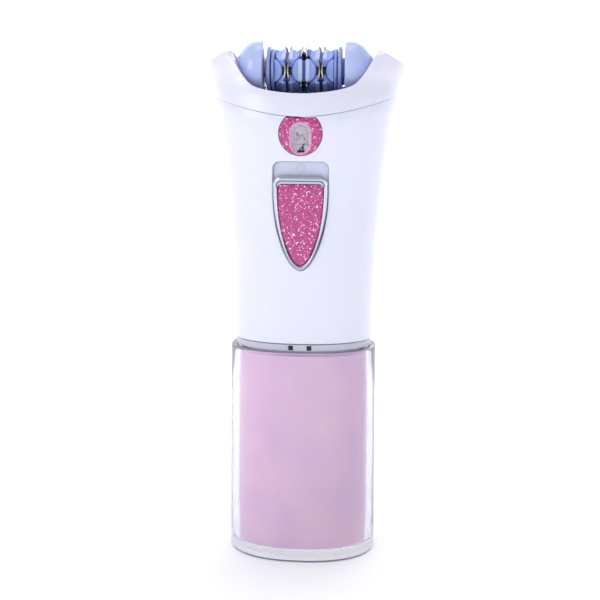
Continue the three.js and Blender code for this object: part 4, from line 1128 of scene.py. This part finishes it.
def make_reflector():
    """Dish behind the lens window, open to the front."""
    low, high = node_box("led_reflector")
    outer, inner = capsule_outline(0.7), capsule_outline()
    floor = high.y - 0.5
    middle = [(0, (WINDOW_LOW + WINDOW_HIGH) / 2)] * len(inner)
    levels = [(outer, 0, high.y), (outer, 0, low.y), (inner, 0, low.y)]
    levels += [(inner, 0, floor - 0.8), (inner, 0.07, floor - 0.25), (inner, 0.2, floor)]
    rows = []
    for outline, share, y in levels:
        rows.append([Vector((x, y, z)) for x, z in between(outline, middle, share)])
    add_piece(
        "lamp_dish", capped(rows), "handle", "dish_white_painted_glow", "led_reflector", slot="grey_plastic")


def make_lamp():
    """Clear 5 mm lamp standing on its rim, with its cup, leads and bond wire inside."""
    low, high = node_box("led_bulb")
    y = node_middle("led_bulb").y
    radius, flange, flange_high, edge = 2.0, 2.25, low.z + 0.7, 0.1
    shoulder = high.z - radius
    profile = [(0, low.z), (flange - edge, low.z), (flange, low.z + edge)]
    profile += [(flange, flange_high - edge), (flange - edge, flange_high), (radius, flange_high)]
    profile += dome(radius, shoulder, high.z, 14)
    add_piece(
        "lamp_bulb", turned(profile, "z", (0, y, 0), 64), "handle", "led_epoxy", "led_bulb",
        sharp_angle=50)

    def thread(points, foot, depth=0.0):
        return [Vector((x, y - depth, foot + z)) for x, z in points]

    foot = WINDOW_LOW + 0.15
    bend = thread(((-0.25, 0.5), (-0.05, 1.0), (0.45, 1.35), (0.75, 1.8), (1.1, 2.4)), foot, 2.1)
    leads = [
        block((-0.95, y - 0.3, foot), (0.95, y + 0.3, foot + 0.55)),
        wire(bend, 0.17),
        wire(thread(((0.55, 0.5), (0.5, 1.6)), foot), 0.2),
    ]
    add_piece(
        "lamp_leads", join_shapes(leads), "handle", "dark_plastic", slot="lead_black",
        sharp_angle=50)

    anvil = wire(thread(((-0.9, -1.9), (-0.3, -1.1), (-0.95, 0.1)), shoulder), 0.32)
    post = wire(thread(((0.75, -2.1), (0.55, -0.9), (0.1, -0.4)), shoulder), 0.22)
    add_piece(
        "lamp_anvil", join_shapes([anvil, post]), "handle", "spring_steel", sharp_angle=50)


def make_bezel():
    """Pale rounded rim between the lens and its window; its pale colour is a painted highlight of the
    lens's inner edge.
    """
    width, seat = 0.4, -0.9
    section = (
        (1.0, seat), (1.0, 0.0), (0.75, 0.05), (0.25, 0.03), (0.0, -0.06), (0.0, seat))
    rows = [front_row(capsule_outline(width * share), height) for share, height in section]
    add_piece(
        "lamp_rim", grid(rows, closed=True), "handle", "rim_painted_highlight_pink", slot="pink_plastic",
        sharp_angle=60)


# ---------------- switch


def frame_opening(gap=0.0):
    """Outline of the slider frame's opening, drawn in by a gap."""
    return shield_outline(
        SHIELD_BOTTOM + SWITCH_RIM + gap, SHIELD_TOP - SWITCH_BAR - gap,
        SHIELD_HALF - SWITCH_RIM - gap, corner=SHIELD_CORNER * 0.7)


def make_switch_frame():
    """Chromed shield frame with a rounded section, open in the middle for the inlay."""
    outer, inner = shield_outline(SHIELD_BOTTOM, SHIELD_TOP, SHIELD_HALF), frame_opening()
    section = [(0.0, -SWITCH_SEAT), (0.0, 0.15)]
    section += [(0.03, 0.42), (0.12, 0.62), (0.26, 0.74), (0.42, SWITCH_PROUD)]
    section += [(0.6, SWITCH_PROUD - 0.03), (0.76, 0.66), (0.9, 0.48), (0.97, 0.3)]
    section += [(1.0, 0.02), (1.0, -SWITCH_SEAT)]
    rows = [front_row(between(outer, inner, share), height) for share, height in section]
    add_piece(
        "slider_frame", grid(rows, closed=True), "slider", "chrome", "switch_frame",
        sharp_angle=60)


def shield_solid(outline, levels, low, high):
    """Solid through levels of (share drawn in, height), closed on the upright line."""
    rows = [
        front_row(shrink_to_spine(outline, share, low, high), height)
        for share, height in levels]
    middle = (low + high) / 2
    return grid([
        [front_point(0, middle, levels[0][1])], *rows, [front_point(0, middle, levels[-1][1])]])


def make_switch_inlay():
    """Domed glittering pad that fills the frame."""
    levels = [(0.5, 0.06), (0.0, 0.06), (0.0, 0.2), (0.02, 0.3), (0.07, 0.38), (0.16, 0.45)]
    levels += [(0.3, 0.5), (0.5, 0.53), (0.75, 0.55), (0.98, 0.55)]
    shape = shield_solid(
        frame_opening(0.08), levels, SHIELD_BOTTOM + 6, SHIELD_TOP - SWITCH_BAR - 5)
    add_piece("slider_inlay", shape, "slider", "pink_glitter", "switch_inlay", sharp_angle=50)


def make_switch_panel():
    """Recessed plate the slider runs on, with its guide hole."""
    outline = shield_outline(SHIELD_BOTTOM - 0.1, SLOT_TOP - 0.1, SHIELD_HALF + 0.1)
    shares = (0.0, 0.15, 0.35, 0.6, 0.85)
    levels = [(share, -PANEL_DEPTH) for share in reversed(shares)]
    levels += [(share, -PANEL_DEPTH - PANEL_THICKNESS) for share in shares]
    shape = shield_solid(outline, levels, SHIELD_BOTTOM + 6, SLOT_TOP - 6)
    panel = build_mesh("switch_plate", shape, 50)
    combine(panel, [build_mesh("guide_hole", block(GUIDE_LOW, GUIDE_HIGH))])
    finish_piece(panel, "handle", "panel_grey", "switch_panel", slot="grey_plastic")


def make_switch_mark():
    """Plain ring on the panel above the slider."""
    rows = []
    for radius, height in ((MARK_RADIUS, -0.1), (MARK_RADIUS, MARK_PROUD),
                           (MARK_RADIUS - MARK_WIDTH, MARK_PROUD), (MARK_RADIUS - MARK_WIDTH, -0.1)):
        rows.append(front_row(circle_outline(radius, MARK_Z, 56), height - PANEL_DEPTH))
    add_piece("switch_mark", grid(rows, closed=True), "handle", "grey_plastic")


# ---------------- pieces kept from the frame

# CAD nodes shown as they are, by material and by the width that rounds their edges
KEPT_NODES = (
    ("cell_wrap", 0.5, "battery_left battery_right"),
    ("spring_steel", 0.05, "bridge_contact contact_spring contact_tab"),
    ("board", 0.05, "circuit_board"),
    ("steel", 0.2, "motor_can"),
    ("steel", 0.1, "slide_switch_body motor_rotor drum_axle"),
    ("steel", 0.08, "idler_pin"),
    ("steel", 0.05, "push_rod_1 push_rod_2 push_rod_3"),
    ("brass", 0.1, "resistor"),
    ("brass", 0.05, "drum_bush_left drum_bush_right"),
    ("brass", 0, "motor_pinion"),
    ("grey_plastic", 0.2, "motor_end_cap"),
    ("grey_plastic", 0.1, "gear_frame switch_carrier"),
    ("magnet", 0.1, "motor_magnet_left motor_magnet_right"),
    ("lead_red", 0, "lead_left"),
    ("lead_black", 0, "lead_right"),
    ("gear_nylon", 0, "crown_gear idler_gear drum_gear"),
    # the trough is painted deep navy as shade under the drum
    ("painted_shade_navy", 0.08, "head_trough"),
)


def dress_kept_nodes():
    for look, edge, names in KEPT_NODES:
        for name in names.split():
            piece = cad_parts[name]
            piece.data.materials.clear()
            piece.data.materials.append(MATERIALS[look])
            if edge:
                soften(piece, edge, 2, 35)


# ---------------- floor, light and camera


def make_floor():
    """Pale sweep that rises softly behind the part and glows faintly away from it."""
    width, front, back, rise, curve = 9000, -9000, 900, 2200, 500
    profile = [(front + (back - front) * i / 8, 0.0) for i in range(8)]
    profile += arc((back, curve), curve, -90, 0, 16)
    profile.append((back + curve, rise))
    rows = [[Vector((x, y, z)) for x in (-width, 0, width)] for y, z in profile]
    floor = build_mesh("floor", grid(rows, around=False), 80)
    surface = Surface("floor_paper")
    tones = [(0.3, (250, 250, 252)), (0.7, (253, 253, 255))]
    distance = surface.add("ShaderNodeVectorMath", operation="LENGTH")
    surface.link(surface.place, distance.inputs[0])
    glowing = surface.spread(distance.outputs["Value"], 0.22, 0.5, 0.04, 0.3)
    surface.drive("Emission Strength", glowing)
    surface.finish(
        surface.ramp(surface.noise(140, 3), tones), surface.spread(surface.noise(40, 3), 0.75, 0.85),
        surface.noise(3, 2), 0.02, Emission_Color=(1, 1, 1, 1))
    floor.data.materials.append(surface.material)


def soft_box(name, place, target, size, watts, tint=(1, 1, 1)):
    light = bpy.data.lights.new(name, "AREA")
    light.shape = "RECTANGLE"
    light.size, light.size_y = size[0] * MM, size[1] * MM
    light.energy = watts
    light.color = tint
    box = new_object(name, light)
    box.location = Vector(place) * MM
    box.rotation_euler = (Vector(target) - Vector(place)).to_track_quat("-Z", "Y").to_euler()


def light_studio():
    world = bpy.data.worlds.new("studio")
    world.use_nodes = True
    background = world.node_tree.nodes["Background"]
    background.inputs["Color"].default_value = (0.94, 0.95, 1, 1)
    background.inputs["Strength"].default_value = 0.6
    bpy.context.scene.world = world
    middle = (0, 0, 80)
    soft_box("key", (-300, -300, 300), middle, (200, 240), 0.4)
    soft_box("fill", (380, -260, 180), middle, (90, 260), 0.05, (0.92, 0.94, 1))
    soft_box("top", (0, 60, 480), middle, (200, 200), 0.22)
    soft_box("back", (120, 420, 260), middle, (300, 200), 0.22)


def place_camera():
    """Camera slightly to the right of and above the part, with a small roll."""
    azimuth, pitch, roll = (
        radians(a) for a in (CAMERA_AZIMUTH, CAMERA_PITCH, CAMERA_ROLL))
    back = Vector((
        sin(azimuth) * cos(pitch),
        -cos(azimuth) * cos(pitch),
        sin(pitch)))
    right = Vector((cos(azimuth), sin(azimuth), 0))
    up = back.cross(right)
    tilted_right = right * cos(roll) + up * sin(roll)
    tilted_up = up * cos(roll) - right * sin(roll)
    data = bpy.data.cameras.new("camera")
    data.lens, data.sensor_width = CAMERA_LENS, SENSOR
    data.clip_start, data.clip_end = 0.01, 10
    camera = new_object("camera", data)
    turn = Matrix((tilted_right, tilted_up, back)).transposed().to_4x4()
    camera.matrix_world = Matrix.Translation((CAMERA_TARGET + back * CAMERA_DISTANCE) * MM) @ turn
    bpy.context.scene.camera = camera


# ---------------- the whole part


def make_drum():
    """Four segments with a blade pair in each slot between them, and a flange at each end."""
    slots = [x + side * BLADE_SLOT / 2 for _, x, _ in BLADE_PLACES for side in (-1, 1)]
    edges = [-SEGMENT_END] + slots + [SEGMENT_END]
    for letter, start, end in zip("abcd", edges[::2], edges[1::2]):
        make_drum_segment(letter, start, end)
    make_flange(-1, "drum_end_left", "drum_flange_left")
    make_flange(1, "drum_end_right", "drum_flange_right")
    for place, x, first_row in BLADE_PLACES:
        make_blade("fixed", place, "drum", x, -1, first_row, ROD_BORE)
        make_blade("moving", place, "tweezers", x, 1, first_row, TIGHT_BORE)


make_materials()
make_cup()
make_neck()
make_front_shell()
make_rear_shell()
make_screws()
make_collar()
make_cheek(-1, "head_cheek_left", "cheek_left")
make_cheek(1, "head_cheek_right", "cheek_right")
make_trough_lip()
make_drum()
make_lens()
make_reflector()
make_lamp()
make_bezel()
make_switch_frame()
make_switch_inlay()
make_switch_panel()
make_switch_mark()
dress_kept_nodes()

make_floor()
light_studio()
place_camera()

bpy.context.scene.view_settings.view_transform = "Standard"
